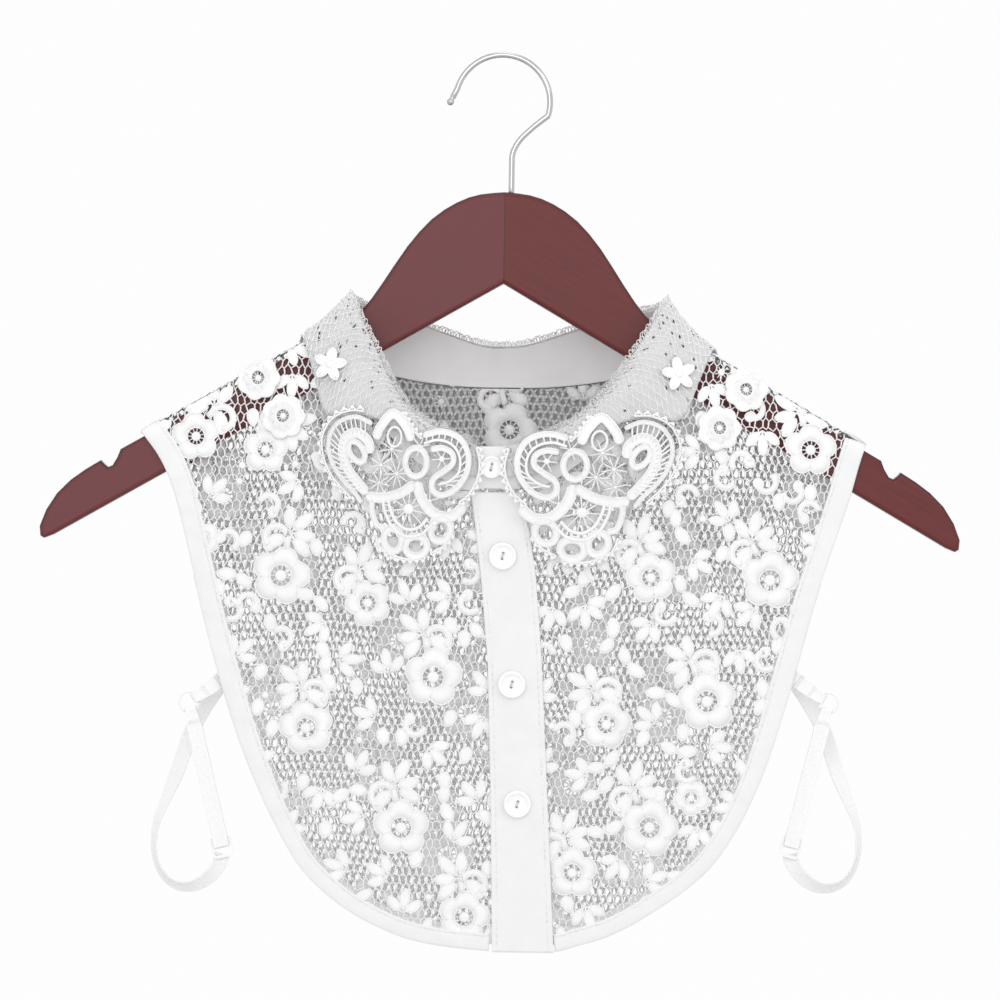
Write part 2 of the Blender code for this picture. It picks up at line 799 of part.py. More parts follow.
def ellipse(x, z, half_width, half_height, turn, count=8):
    angle = math.radians(turn)
    points = []
    for k in range(count):
        t = 2 * math.pi * k / count
        a = half_width * math.cos(t)
        b = half_height * math.sin(t)
        points.append((x + a * math.cos(angle) - b * math.sin(angle),
                       z + a * math.sin(angle) + b * math.cos(angle)))
    return points


def prism(outlines, near, far):
    """Points and faces of upright prisms, front to back, over closed outlines."""
    points = []
    faces = []
    for line in outlines:
        base = len(points)
        count = len(line)
        points += [(x, near, z) for x, z in line] + [(x, far, z) for x, z in line]
        faces.append(tuple(range(base, base + count)))
        faces.append(tuple(range(base + 2 * count - 1, base + count - 1, -1)))
        for k in range(count):
            m = (k + 1) % count
            faces.append((base + k, base + count + k, base + count + m, base + m))
    return points, faces


def motif(name, skin, edge, holes):
    """A guipure corner motif: a patch of the collar's surface, cut to its outline."""
    closed = through(edge + edge[:1], 2)[:-1]
    low = closed.min(axis=0) - 2.0
    high = closed.max(axis=0) + 2.0
    inside = []
    outside = []
    for x in np.linspace(low[0], high[0], 12):
        inside.append([])
        outside.append([])
        for z in np.linspace(low[1], high[1], 9):
            y = depth_on(skin, x, z) - OVER_FALL
            inside[-1].append((x, y, z))
            outside[-1].append((x, y - MOTIF_WALL, z))
    patch = wall(name, inside, outside, "guipure")
    keep = add_cutter(name + "_outline", *prism([[tuple(p) for p in closed]], -90.0, 30.0))
    cut(patch, keep, "INTERSECT")
    windows = add_cutter(name + "_windows", *prism([ellipse(*hole) for hole in holes], -95.0, 35.0))
    cut(patch, windows)
    return patch


def on_cloth_frame(x, z, out):
    """Place and outward direction on the front at a place of the picture."""
    here = front(x, z, out)
    further = front(x, z, out + 1.0)
    return here, unit(further - here)


def flower(name, x, z):
    """A round double flower of guipure with an open middle, laid on the shoulder."""
    profile = [
        # share of the radius, height
        (0.24, 0.0),
        (0.50, 0.0),
        (0.76, 0.0),
        (1.00, 0.0),
        (1.00, 0.9),
        (0.70, 1.6),
        (0.62, 2.3),
        (0.24, 2.1),
    ]
    around = 28
    middle = down_from_crest(x, z, -1)
    sections = []
    for k in range(around):
        turn = 2 * math.pi * k / around
        scallop = abs(math.cos(FLOWER_SCALLOPS * turn / 2))
        section = []
        for share, height in profile:
            radius = FLOWER_RADIUS * share * (1.0 - 0.10 * (1.0 - scallop) * (share > 0.5))
            a, b = radius * math.cos(turn), radius * math.sin(turn)
            section.append(cloth(x + a, middle + b, LACE + 1.5 * GAP + height))
        sections.append(section)
    return loft(name, sections, "guipure", ring=True)


def star(name, skin, x, z):
    """A five-petalled leaf star of guipure, sewn on the fall."""
    around = 20
    rings = []
    for share, height in ((0.1, 0.0), (0.55, 0.0), (1.0, 0.0), (1.0, 0.7), (0.55, 1.5), (0.1, 1.2)):
        ring = []
        for k in range(around):
            turn = 2 * math.pi * k / around
            petal = 0.36 + 0.64 * abs(math.cos(2.5 * turn)) ** 0.8
            radius = STAR_RADIUS * share * petal
            a, b = radius * math.cos(turn), radius * math.sin(turn)
            ring.append((x + a, depth_on(skin, x + a, z + b) - OVER_FALL - height, z + b))
        rings.append(ring)
    return loft(name, rings, "guipure")


def frame_at(place, out, up=(0.0, 0.0, 1.0)):
    """A matrix whose Z points out of the cloth, in metres."""
    out = Vector(out)
    right = Vector(up).cross(out).normalized()
    over = out.cross(right)
    turned = Matrix((right, over, out)).transposed().to_4x4()
    return Matrix.Translation(Vector(place) * MM) @ turned


def button(name, x, z, size):
    """A shirt button with a raised rim and two holes."""
    if name == "button_4":
        place = np.array([x, COLLAR[0][2] - COTTON - GAP, z])
        out = np.array([0.0, -1.0, 0.0])
    else:
        place, out = on_cloth_frame(x, z, LACE + GAP + COTTON + GAP)
    around = 20
    profile = [(0.86, 0.0), (1.0, 0.35), (1.0, 0.8), (0.9, 1.0), (0.72, 0.86), (0.62, 0.66)]
    rings = []
    for share, height in profile:
        radius = size * share
        rings.append([(radius * math.cos(2 * math.pi * k / around),
                       radius * math.sin(2 * math.pi * k / around),
                       BUTTON_THICKNESS * height) for k in range(around)])
    made = loft(name, rings, "button")
    holes = []
    for side in (-1, 1):
        holes.append([(side * BUTTON_HOLE_SPACING / 2 + BUTTON_HOLE_RADIUS * math.cos(2 * math.pi * k / 8),
                       BUTTON_HOLE_RADIUS * math.sin(2 * math.pi * k / 8)) for k in range(8)])
    points, faces = prism(holes, -2.0, 5.0)
    cutter = add_cutter(name + "_holes", [(x, z, y) for x, y, z in points], faces)
    made.matrix_world = frame_at(place, out)
    cutter.matrix_world = frame_at(place, out)
    cut(made, cutter)
    return made


def mirrored(points):
    return [(MIRROR_SUM - p[0], p[1], p[2] + MIRROR_RAISE) for p in points]


def band(name, path, widths, ways, finish, mirror):
    """Flat webbing along a path, as wide as given and with its width along given ways."""
    path = np.array(path, dtype=float)
    sections = []
    for i, here in enumerate(path):
        tangent = unit(path[min(i + 1, len(path) - 1)] - path[max(i - 1, 0)])
        way = np.array(ways[i], dtype=float)
        way = unit(way - tangent * np.dot(way, tangent))
        thick = np.cross(tangent, way) * WEBBING_WALL / 2
        half = way * widths[i] / 2
        sections.append([here - half - thick, here + half - thick, here + half + thick, here - half + thick])
    if mirror:
        sections = [mirrored(section) for section in sections]
    return loft(name, sections, finish)


def hairpin(far, ring, reach, mirror, name, closed_gap, end_share=1.0):
    """Webbing doubled round a ring's wire: from a far end, round the wire and back."""
    far = np.array(far, dtype=float)
    ring = np.array(ring, dtype=float)
    away = far - ring
    length = np.linalg.norm(away)
    away = away / length
    front_way = np.array([0.0, -1.0, 0.0])
    front_way = unit(front_way - away * np.dot(front_way, away))
    side_way = np.cross(away, front_way)
    clear = RING_WIRE / 2 + GAP + WEBBING_WALL / 2
    apart = closed_gap / 2 + WEBBING_WALL / 2
    inner_turn = reach - WEBBING_WALL / 2
    layer = [(length, apart), (length * 0.7, apart), (12.0, apart), (8.5, apart + 0.1), (6.2, clear), (4.0, clear)]
    turn = [(inner_turn + clear * (1 - math.cos(a)), clear * math.sin(a))
            for a in np.radians([75, 50, 25, 0, -25, -50, -75])]
    back = [(a, -b) for a, b in reversed(layer)]
    back[-1] = (length * end_share, -apart)
    path, widths = [], []
    for along, off in layer + turn + back:
        path.append(ring + away * along + front_way * off)
        near = np.clip((along - 4.0) / 8.0, 0.0, 1.0)
        widths.append(WEBBING_AT_RING + (WEBBING_WIDTH - WEBBING_AT_RING) * near)
    return band(name, path, widths, [side_way] * len(path), "webbing", mirror)


def torus(name, centre, radius, wire, mirror):
    sections = []
    for i in range(24):
        turn = 2 * math.pi * i / 24
        way = np.array([math.cos(turn), 0.0, math.sin(turn)])
        middle = np.array(centre) + way * radius
        sections.append([middle + way * wire / 2 * math.cos(a) + np.array([0.0, wire / 2 * math.sin(a), 0.0])
                         for a in np.linspace(0, 2 * math.pi, 7)[:-1]])
    if mirror:
        sections = [mirrored(section) for section in sections]
    return loft(name, sections, "hardware", ring=True)


def slider(name, mirror):
    """A flat slider with two windows either side of its middle bar."""
    away = unit(np.array(SLIDER_CENTRE) - np.array(RING_CENTRE))
    side_way = np.array([-away[2], 0.0, away[0]])

    def placed(line):
        centre = np.array(SLIDER_CENTRE)
        spots = [centre + away * a + side_way * b for a, b in line]
        if mirror:
            spots = mirrored(spots)
        return [(p[0], p[2]) for p in spots]

    def rounded(a0, a1, half, corner):
        line = []
        for a, b, start in ((a1, half, 0), (a0, half, 90), (a0, -half, 180), (a1, -half, 270)):
            ca = a - math.copysign(corner, a - (a0 + a1) / 2)
            cb = b - math.copysign(corner, b)
            for step in range(4):
                t = math.radians(start + 30 * step)
                line.append((ca + corner * math.cos(t), cb + corner * math.sin(t)))
        return line

    half_length = SLIDER_LENGTH / 2
    half_width = SLIDER_WIDTH / 2
    y = SLIDER_CENTRE[1]
    body = prism([placed(rounded(-half_length, half_length, half_width, 2.2))],
                 y - SLIDER_WALL / 2, y + SLIDER_WALL / 2)
    made = add_object(name, *body, "hardware")
    windows = []
    for middle in (-2.35, 2.35):
        windows.append(placed(rounded(middle - SLIDER_WINDOW / 2, middle + SLIDER_WINDOW / 2,
                                      half_width - 1.1, 0.7)))
    cutter = add_cutter(name + "_windows", *prism(windows, y - 4.0, y + 4.0))
    cut(made, cutter)
    return made


def side_straps(side_name, mirror):
    """The tab, ring, strap, slider and loop that hold a side open or closed."""
    torus("ring_" + side_name, RING_CENTRE, RING_RADIUS, RING_WIRE, mirror)
    hairpin(TAB_SEWN_END, RING_CENTRE, 2.8, mirror, "tab_" + side_name, GAP)
    slider_gap = SLIDER_WALL + 2 * GAP
    hairpin(SLIDER_CENTRE, RING_CENTRE, 2.8, mirror, "strap_" + side_name, slider_gap)
    slider("slider_" + side_name, mirror)
    line = resample(through(SIDE_LOOP, 4), 34)
    path = line[:, :3]
    ways = []
    for i, row in enumerate(line):
        tangent = unit(path[min(i + 1, len(path) - 1)] - path[max(i - 1, 0)])
        flat = unit(np.cross(tangent, (0.0, 1.0, 0.0)))
        lean = math.radians(row[3])
        ways.append(flat * math.cos(lean) + np.array([0.0, 1.0, 0.0]) * math.sin(lean))
    band("loop_" + side_name, path, [WEBBING_WIDTH] * len(path), ways, "webbing", mirror)


def hanger_wood():
    """The wooden hanger, both halves glued at the middle, bored for the hook."""
    top = [(x, z) for x, z in through(HANGER_ARCH, 2)]
    start = NOTCH_CENTRE - NOTCH_WIDTH / 2
    top.append((start - 3.0, arm_top(start - 3.0)))
    for share, drop in ((0.0, 0.0), (0.16, 0.55), (0.4, 1.0), (0.62, 0.95), (0.84, 0.45), (1.0, 0.0)):
        x = start + NOTCH_WIDTH * share
        top.append((x, arm_top(x) - NOTCH_DEPTH * drop))
    for x, drop in ((199.0, 0.3), (206.0, 1.4), (212.5, 4.2), (217.5, 9.2), (HANGER_HALF_SPAN, 15.4)):
        top.append((x, arm_top(x) - drop))
    foot = 216.0
    under = [(HANGER_HALF_SPAN - 0.4, arm_top(HANGER_HALF_SPAN) - 20.0),
             (foot + 2.4, ARM_UNDER_AT_CENTRE - ARM_SLOPE * (foot + 1.0)),
             (foot - 2.0, ARM_UNDER_AT_CENTRE - ARM_SLOPE * (foot - 2.0))]
    right = top + under
    line = [(0.0, ARM_UNDER_AT_CENTRE)]
    line += [(-x, z) for x, z in reversed(right[1:])]
    line += right
    points, faces = prism([line], -HANGER_THICKNESS / 2, HANGER_THICKNESS / 2)
    made = add_object("hanger_wood", points, faces, "wood")
    bm = bmesh.new()
    bm.from_mesh(made.data)
    rim = []
    for edge in bm.edges:
        a, b = edge.verts
        if abs(a.co.y - b.co.y) < 1e-6:
            rim.append(edge)
    bmesh.ops.bevel(bm, geom=rim, offset=HANGER_ROUNDING * MM, segments=3, profile=0.5,
                    affect="EDGES", clamp_overlap=True)
    bm.to_mesh(made.data)
    bm.free()
    hole = []
    for z in (HOOK_HOLE_FOOT, -50.0):
        hole.append([(SHAFT_X + HOOK_HOLE / 2 * math.cos(2 * math.pi * k / 16),
                      HOOK_HOLE / 2 * math.sin(2 * math.pi * k / 16), z) for k in range(16)])
    cutter = loft("hook_hole", hole, "wood")
    cutter.hide_render = True
    cutter.display_type = "WIRE"
    cut(made, cutter)
    return made


def hanger_hook():
    """The round hook of plated wire."""
    centre_z = HOOK_WIRE / 2 - HOOK_ROUND_RADIUS
    bend = through([(SHAFT_X, -52.0), (SHAFT_X + 0.4, -45.5), (6.9, -39.0), (13.4, -32.6)], 4)
    path = [(SHAFT_X, SHAFT_FOOT), (SHAFT_X, -70.0), (SHAFT_X, -60.0)] + [tuple(p) for p in bend]
    for angle in np.linspace(-16.0, 164.0, 20):
        turn = math.radians(angle)
        path.append((HOOK_ROUND_X + HOOK_ROUND_RADIUS * math.cos(turn),
                     centre_z + HOOK_ROUND_RADIUS * math.sin(turn)))
    end = np.array(path[-1])
    tip = np.array([-26.9, -21.4])
    way = unit(tip - end)
    radii = [HOOK_WIRE / 2] * len(path)
    length = np.linalg.norm(tip - end)
    ball = HOOK_TIP_BALL / 2
    path.append(tuple(end + way * (length - ball * 1.3)))
    radii.append(HOOK_WIRE / 2)
    for angle in (-35, 0, 35, 65):
        path.append(tuple(tip + way * ball * math.sin(math.radians(angle))))
        radii.append(ball * math.cos(math.radians(angle)))
    path = np.array(path)
    sections = []
    for i, here in enumerate(path):
        tangent = unit(path[min(i + 1, len(path) - 1)] - path[max(i - 1, 0)])
        normal = np.array([-tangent[1], tangent[0]])
        ring = []
        for angle in np.linspace(0, 2 * math.pi, 11)[:-1]:
            flat = here + normal * radii[i] * math.cos(angle)
            ring.append((flat[0], radii[i] * math.sin(angle), flat[1]))
        sections.append(ring)
    return loft("hanger_hook", sections, "chrome")


def build():
    clear_scene()
    hanger_wood()
    hanger_hook()
    split_top = PLACKET[0][1] + PANEL_UNDER_PLACKET
    split_foot = PLACKET[-1][1] + PANEL_UNDER_PLACKET
    front_half("front_right", "binding_front_right", 0.0, PLACKET[-1][1] - 2 * GAP,
               split_top, split_foot)
    front_half("front_left", "binding_front_left", 1.0, PLACKET[-1][2] + 2 * GAP,
               split_top + GAP, split_foot + GAP)
    back_whole()
    placket()
    collar_stand()
    collar_fall()
    skin = collar_skin()
    motif("collar_motif_left", skin, MOTIF_RIGHT_EDGE, MOTIF_RIGHT_HOLES)
    motif("collar_motif_right", skin, MOTIF_LEFT_EDGE, MOTIF_LEFT_HOLES)
    for name, x, z in FLOWERS:
        flower(name, x, z)
    for name, x, z in STARS:
        star(name, skin, x, z)
    for name, x, z, size in BUTTONS:
        button(name, x, z, size)
    side_straps("right", False)
    side_straps("left", True)


build()
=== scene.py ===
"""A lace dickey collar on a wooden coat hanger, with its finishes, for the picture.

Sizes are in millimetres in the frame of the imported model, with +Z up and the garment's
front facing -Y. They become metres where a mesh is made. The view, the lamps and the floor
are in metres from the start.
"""
import math
import random

import bmesh
import bpy
import numpy as np
from mathutils import Matrix, Vector, noise
from mathutils.bvhtree import BVHTree


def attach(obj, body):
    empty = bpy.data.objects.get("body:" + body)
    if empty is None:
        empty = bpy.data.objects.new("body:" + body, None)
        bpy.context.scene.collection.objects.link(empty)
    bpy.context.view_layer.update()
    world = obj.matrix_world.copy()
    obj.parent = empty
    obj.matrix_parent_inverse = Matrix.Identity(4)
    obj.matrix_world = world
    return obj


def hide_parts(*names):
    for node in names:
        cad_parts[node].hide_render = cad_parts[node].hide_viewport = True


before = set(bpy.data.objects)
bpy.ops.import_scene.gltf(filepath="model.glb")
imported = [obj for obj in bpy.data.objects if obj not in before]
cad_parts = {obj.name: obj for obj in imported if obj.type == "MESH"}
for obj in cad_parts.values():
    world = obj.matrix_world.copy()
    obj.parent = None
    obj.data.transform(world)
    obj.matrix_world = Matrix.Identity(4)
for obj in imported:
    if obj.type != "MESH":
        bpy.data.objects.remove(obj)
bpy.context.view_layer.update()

# The view: straight at the front from far off, turned a little, as the picture is.
# A pale floor lies well under the collar, and soft light comes from all round and from the front.
VIEW_WIDTH = 0.480
VIEW_DISTANCE = 2.6
VIEW_CENTRE = (-0.0001, -0.2122)
VIEW_TIP = -0.9
FLOOR_LEVEL = -0.62
FLOOR_HALF_WIDTH = 1.1
FLOOR_HALF_DEPTH = 1.0
FLOOR_GREY = (0.7, 0.7, 0.7, 1.0)
SKY = (0.985, 0.985, 0.985, 1.0)
LAMPS = [
    # name, place, size, watts
    ("key", (1.4, -1.9, 0.9), 0.8, 4.0),
    ("front", (-0.3, -2.5, 0.3), 1.4, 11.0),
    ("back", (-0.4, 1.9, 0.5), 1.4, 8.0),
    ("top", (0.1, -0.2, 1.6), 0.8, 3.0),
]
LAMPS_AIM = Vector((0.0, 0.0, -0.25))

scene = bpy.context.scene
scene.view_settings.view_transform = "Standard"
lens = bpy.data.cameras.new("camera")
lens.sensor_width = 36.0
lens.lens = lens.sensor_width * VIEW_DISTANCE / VIEW_WIDTH
lens.clip_end = 20.0
camera = bpy.data.objects.new("camera", lens)
camera.location = (VIEW_CENTRE[0], -VIEW_DISTANCE, VIEW_CENTRE[1])
camera.rotation_euler = (math.radians(90.0), math.radians(VIEW_TIP), 0.0)
scene.collection.objects.link(camera)
scene.camera = camera

sky = bpy.data.worlds.new("pale_room")
sky.use_nodes = True
sky.node_tree.nodes["Background"].inputs["Color"].default_value = SKY
scene.world = sky

for name, place, size, power in LAMPS:
    glow = bpy.data.lights.new(name, "AREA")
    glow.size = size
    glow.energy = power
    lamp = bpy.data.objects.new(name, glow)
    lamp.location = place
    lamp.rotation_euler = (LAMPS_AIM - Vector(place)).to_track_quat("-Z", "Y").to_euler()
    scene.collection.objects.link(lamp)

ground = bpy.data.meshes.new("floor")
corners = [(x * FLOOR_HALF_WIDTH, y * FLOOR_HALF_DEPTH, FLOOR_LEVEL)
           for x, y in ((-1, -1), (1, -1), (1, 1), (-1, 1))]
ground.from_pydata(corners, [], [(0, 1, 2, 3)])
floor = bpy.data.objects.new("floor", ground)
floor_paint = bpy.data.materials.new("floor_paint")
floor_paint.use_nodes = True
floor_shader = floor_paint.node_tree.nodes["Principled BSDF"]
floor_shader.inputs["Base Color"].default_value = FLOOR_GREY
floor_shader.inputs["Roughness"].default_value = 0.9
ground.materials.append(floor_paint)
scene.collection.objects.link(floor)

# The hanger's wood: two curved halves glued at the middle, stained red-brown and varnished.
# The grain runs down each arm, the halves differ a little, and the rounded edges carry painted shade, dark on
# the upper edge and a deep red on the lower.
MM = 0.001
ARM_ANGLE = 30.0
WOOD_LIGHT = (0.126, 0.016, 0.016)
WOOD_DARK = (0.098, 0.011, 0.012)
# Painted shade for the rounded edges: first the upper edge's, then the lower edge's.
WOOD_TOP_EDGE_PAINTED_SHADE = (0.030, 0.003, 0.004)
WOOD_FOOT_EDGE_PAINTED_SHADE = (0.100, 0.004, 0.003)
WOOD_LEFT_TINT = (0.136, 0.032, 0.037)
LEFT_TINT_SHARE = 0.7
GLUE_LINE = (0.035, 0.008, 0.008)
GLUE_LINE_HALF_WIDTH = 0.16
GRAIN_SCALE = (34.0, 300.0, 760.0)
PORE_SCALE = (160.0, 900.0, 2100.0)


def new_finish(name, colour, roughness, metallic=0.0):
    """A material with its shader, for the nodes of its own section to join."""
    made = bpy.data.materials.new(name)
    made.use_nodes = True
    shader = made.node_tree.nodes["Principled BSDF"]
    shader.inputs["Base Color"].default_value = (*colour, 1.0)
    shader.inputs["Roughness"].default_value = roughness
    shader.inputs["Metallic"].default_value = metallic
    return made, made.node_tree, shader


def node(tree, kind, inputs=(), **settings):
    """A shader node with its settings, and its inputs set to numbers or joined to sockets."""
    made = tree.nodes.new("ShaderNode" + kind)
    for name, value in settings.items():
        setattr(made, name, value)
    for place, value in dict(inputs).items():
        if isinstance(value, bpy.types.NodeSocket):
            tree.links.new(value, made.inputs[place])
        else:
            made.inputs[place].default_value = value
    return made


def graded(tree, socket, stops):
    """A colour ramp over a socket, through (place, colour) stops."""
    ramp = tree.nodes.new("ShaderNodeValToRGB")
    tree.links.new(socket, ramp.inputs["Fac"])
    elements = ramp.color_ramp.elements
    while len(elements) < len(stops):
        elements.new(0.5)
    for element, (place, colour) in zip(elements, stops):
        element.position = place
        element.color = (*colour, 1.0)
    return ramp.outputs["Color"]


def raised(tree, shader, height, depth, strength=1.0):
    """Relief on a finish, from a height between 0 and 1 and its depth in millimetres."""
    bump = node(tree, "Bump", {"Height": height, "Strength": strength, "Distance": depth * MM})
    tree.links.new(bump.outputs["Normal"], shader.inputs["Normal"])


wood, tree, shader = new_finish("stained_wood", WOOD_LIGHT, 0.42)
shader.inputs["Coat Weight"].default_value = 0.12
shader.inputs["Coat Roughness"].default_value = 0.25
shader.inputs["Specular IOR Level"].default_value = 0.3
where = node(tree, "TexCoord").outputs["Object"]
apart = node(tree, "SeparateXYZ", {0: where})
mirrored_x = node(tree, "Math", {0: apart.outputs["X"]}, operation="ABSOLUTE").outputs[0]
both = node(tree, "CombineXYZ", {"X": mirrored_x, "Y": apart.outputs["Y"], "Z": apart.outputs["Z"]})
down_arm = node(tree, "VectorRotate", {"Vector": both.outputs[0], "Axis": (0.0, 1.0, 0.0),
                                       "Angle": math.radians(-ARM_ANGLE)}, rotation_type="AXIS_ANGLE")
stretched = node(tree, "Mapping", {"Vector": down_arm.outputs[0], "Scale": GRAIN_SCALE})
grain = node(tree, "TexNoise", {"Vector": stretched.outputs[0], "Scale": 1.0, "Detail": 7.0,
                                "Roughness": 0.62})
pores = node(tree, "Mapping", {"Vector": down_arm.outputs[0], "Scale": PORE_SCALE})
fine = node(tree, "TexNoise", {"Vector": pores.outputs[0], "Scale": 1.0, "Detail": 3.0, "Roughness": 0.7})
grain_colour = graded(tree, grain.outputs["Fac"], [(0.32, WOOD_DARK), (0.58, WOOD_LIGHT)])
left_half = node(tree, "Math", {0: apart.outputs["X"], 1: 0.0}, operation="LESS_THAN").outputs[0]
half_share = node(tree, "Math", {0: left_half, 1: LEFT_TINT_SHARE}, operation="MULTIPLY").outputs[0]
tinted = node(tree, "Mix", {0: half_share, 6: grain_colour, 7: (*WOOD_LEFT_TINT, 1.0)}, data_type="RGBA")
# Painted shade on the rounded edges, chosen by which way the surface faces: dark where it faces up, deep red
# where it faces down.
facing = node(tree, "SeparateXYZ", {0: node(tree, "NewGeometry").outputs["Normal"]})
flat_share = node(tree, "Math", {0: facing.outputs["Y"]}, operation="ABSOLUTE").outputs[0]
edge_painted_shade_mask = graded(tree, flat_share, [(0.55, (1, 1, 1)), (0.97, (0, 0, 0))])
above = node(tree, "Math", {0: facing.outputs["Z"], 1: 0.0}, operation="GREATER_THAN").outputs[0]
edge_painted_shade_colour = node(tree, "Mix", {0: above, 6: (*WOOD_FOOT_EDGE_PAINTED_SHADE, 1.0), 7: (*WOOD_TOP_EDGE_PAINTED_SHADE, 1.0)},
                   data_type="RGBA")
edged = node(tree, "Mix", {0: edge_painted_shade_mask, 6: tinted.outputs[2], 7: edge_painted_shade_colour.outputs[2]}, data_type="RGBA")
by_glue = node(tree, "Math", {0: mirrored_x, 1: GLUE_LINE_HALF_WIDTH * MM}, operation="LESS_THAN")
seamed = node(tree, "Mix", {0: by_glue.outputs[0], 6: edged.outputs[2], 7: (*GLUE_LINE, 1.0)},
              data_type="RGBA")
tree.links.new(seamed.outputs[2], shader.inputs["Base Color"])
satin = node(tree, "MapRange", {0: grain.outputs["Fac"], 3: 0.34, 4: 0.52})
tree.links.new(satin.outputs[0], shader.inputs["Roughness"])
raised(tree, shader, fine.outputs["Fac"], 0.08, 0.5)
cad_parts["hanger_wood"].data.materials.clear()
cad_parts["hanger_wood"].data.materials.append(wood)

# The hook: a length of plated steel wire, bent to an S and a round, with its end rounded off
# in a small ball. Its straight shank stands in a bored hole in the middle of the wood.
HOOK_WIRE = 3.0
SHAFT_X = 3.0
HOOK_ROUND_RADIUS = 22.7
HOOK_ROUND_X = -1.8
HOOK_TIP = (-26.9, -21.4)
HOOK_TIP_BALL = 3.8
HOOK_ROUND_FROM = -16.0
HOOK_ROUND_TO = 164.0
HOOK_SHANK = [(SHAFT_X, -84.0), (SHAFT_X, -60.0)]
HOOK_NECK = [(SHAFT_X, -52.0), (SHAFT_X + 0.4, -45.5), (6.9, -39.0), (13.4, -32.6)]
WIRE_SIDES = 20


def unit(ways):
    """The same ways with a length of one each."""
    return ways / np.linalg.norm(ways, axis=-1, keepdims=True)


def angles_round(count):
    """Angles in radians, evenly spaced round a full turn."""
    return np.linspace(0, 2 * math.pi, count + 1)[:-1]


def through(rows, steps):
    """A smooth line through rows of numbers, with so many steps between two of them."""
    rows = np.array(rows, dtype=float)
    padded = np.vstack([2 * rows[0] - rows[1], rows, 2 * rows[-1] - rows[-2]])
    line = []
    for i in range(1, len(padded) - 2):
        before, here, there, after = padded[i - 1:i + 3]
        for step in range(steps):
            u = step / steps
            line.append(0.5 * (2 * here + (there - before) * u
                               + (2 * before - 5 * here + 4 * there - after) * u ** 2
                               + (3 * here - before - 3 * there + after) * u ** 3))
    line.append(rows[-1])
    return np.array(line)


def distances(line):
    """How far along a line each of its points lies."""
    return np.concatenate([[0.0], np.cumsum(np.linalg.norm(np.diff(line, axis=0), axis=1))])


def read_off(spots, marks, rows):
    """Rows of numbers that belong to marks, read off at spots between them."""
    return np.stack([np.interp(spots, marks, rows[:, k]) for k in range(rows.shape[1])], axis=-1)


def resample(line, count):
    """The same line with a number of points evenly spaced along it."""
    line = np.array(line, dtype=float)
    along = distances(line)
    return read_off(np.linspace(0.0, along[-1], count), along, line)


def piece(name, points, faces, finishes, replaced=(), marks=None):
    """A shown piece from points in millimetres, riding with the hanger."""
    mesh = bpy.data.meshes.new(name)
    mesh.from_pydata((np.asarray(points) * MM).tolist(), [], faces)
    for made in finishes:
        mesh.materials.append(made)
    if marks is not None:
        mesh.polygons.foreach_set("material_index", marks)
    mesh.shade_smooth()
    mesh.validate()
    thing = bpy.data.objects.new(name, mesh)
    scene.collection.objects.link(thing)
    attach(thing, "root")
    if replaced:
        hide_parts(*replaced)
    return thing


def tube_faces(rings, size, closed=False):
    """Faces of a body lofted through rings of so many points each, ends capped if not closed."""
    faces = []
    for i in range(rings if closed else rings - 1):
        j = (i + 1) % rings
        for k in range(size):
            m = (k + 1) % size
            faces.append((i * size + k, i * size + m, j * size + m, j * size + k))
    if not closed:
        faces.append(tuple(range(size - 1, -1, -1)))
        faces.append(tuple((rings - 1) * size + k for k in range(size)))
    return faces


chrome, tree, shader = new_finish("plated_wire", (0.52, 0.52, 0.54), 0.12, 1.0)
where = node(tree, "TexCoord").outputs["Object"]
wear = node(tree, "TexNoise", {"Vector": where, "Scale": 420.0, "Detail": 4.0})
polish = node(tree, "MapRange", {0: wear.outputs["Fac"], 1: 0.35, 2: 0.75, 3: 0.06, 4: 0.2})
tree.links.new(polish.outputs[0], shader.inputs["Roughness"])
raised(tree, shader, wear.outputs["Fac"], 0.02, 0.25)

centre_z = HOOK_WIRE / 2 - HOOK_ROUND_RADIUS
path = HOOK_SHANK + [tuple(p) for p in through(HOOK_NECK, 9)]
for angle in np.linspace(HOOK_ROUND_FROM, HOOK_ROUND_TO, 60):
    turn = math.radians(angle)
    path.append((HOOK_ROUND_X + HOOK_ROUND_RADIUS * math.cos(turn),
                 centre_z + HOOK_ROUND_RADIUS * math.sin(turn)))
tip = np.array(HOOK_TIP)
way = tip - np.array(path[-1])
length = np.linalg.norm(way)
way /= length
radii = [HOOK_WIRE / 2] * len(path)
ball = HOOK_TIP_BALL / 2
path.append(tuple(np.array(path[-1]) + way * (length - ball * 1.25)))
radii.append(HOOK_WIRE / 2)
for angle in (-52, -30, -10, 10, 30, 50, 68, 82):
    path.append(tuple(tip + way * ball * math.sin(math.radians(angle))))
    radii.append(ball * math.cos(math.radians(angle)))
path = np.array(path)
points = []
for here, ahead, radius in zip(path, unit(np.gradient(path, axis=0)), radii):
    for angle in angles_round(WIRE_SIDES):
        out = radius * math.cos(angle)
        points.append((here[0] - ahead[1] * out, radius * math.sin(angle), here[1] + ahead[0] * out))
piece("hook", points, tube_faces(len(path), WIRE_SIDES), [chrome], ["hanger_hook"])

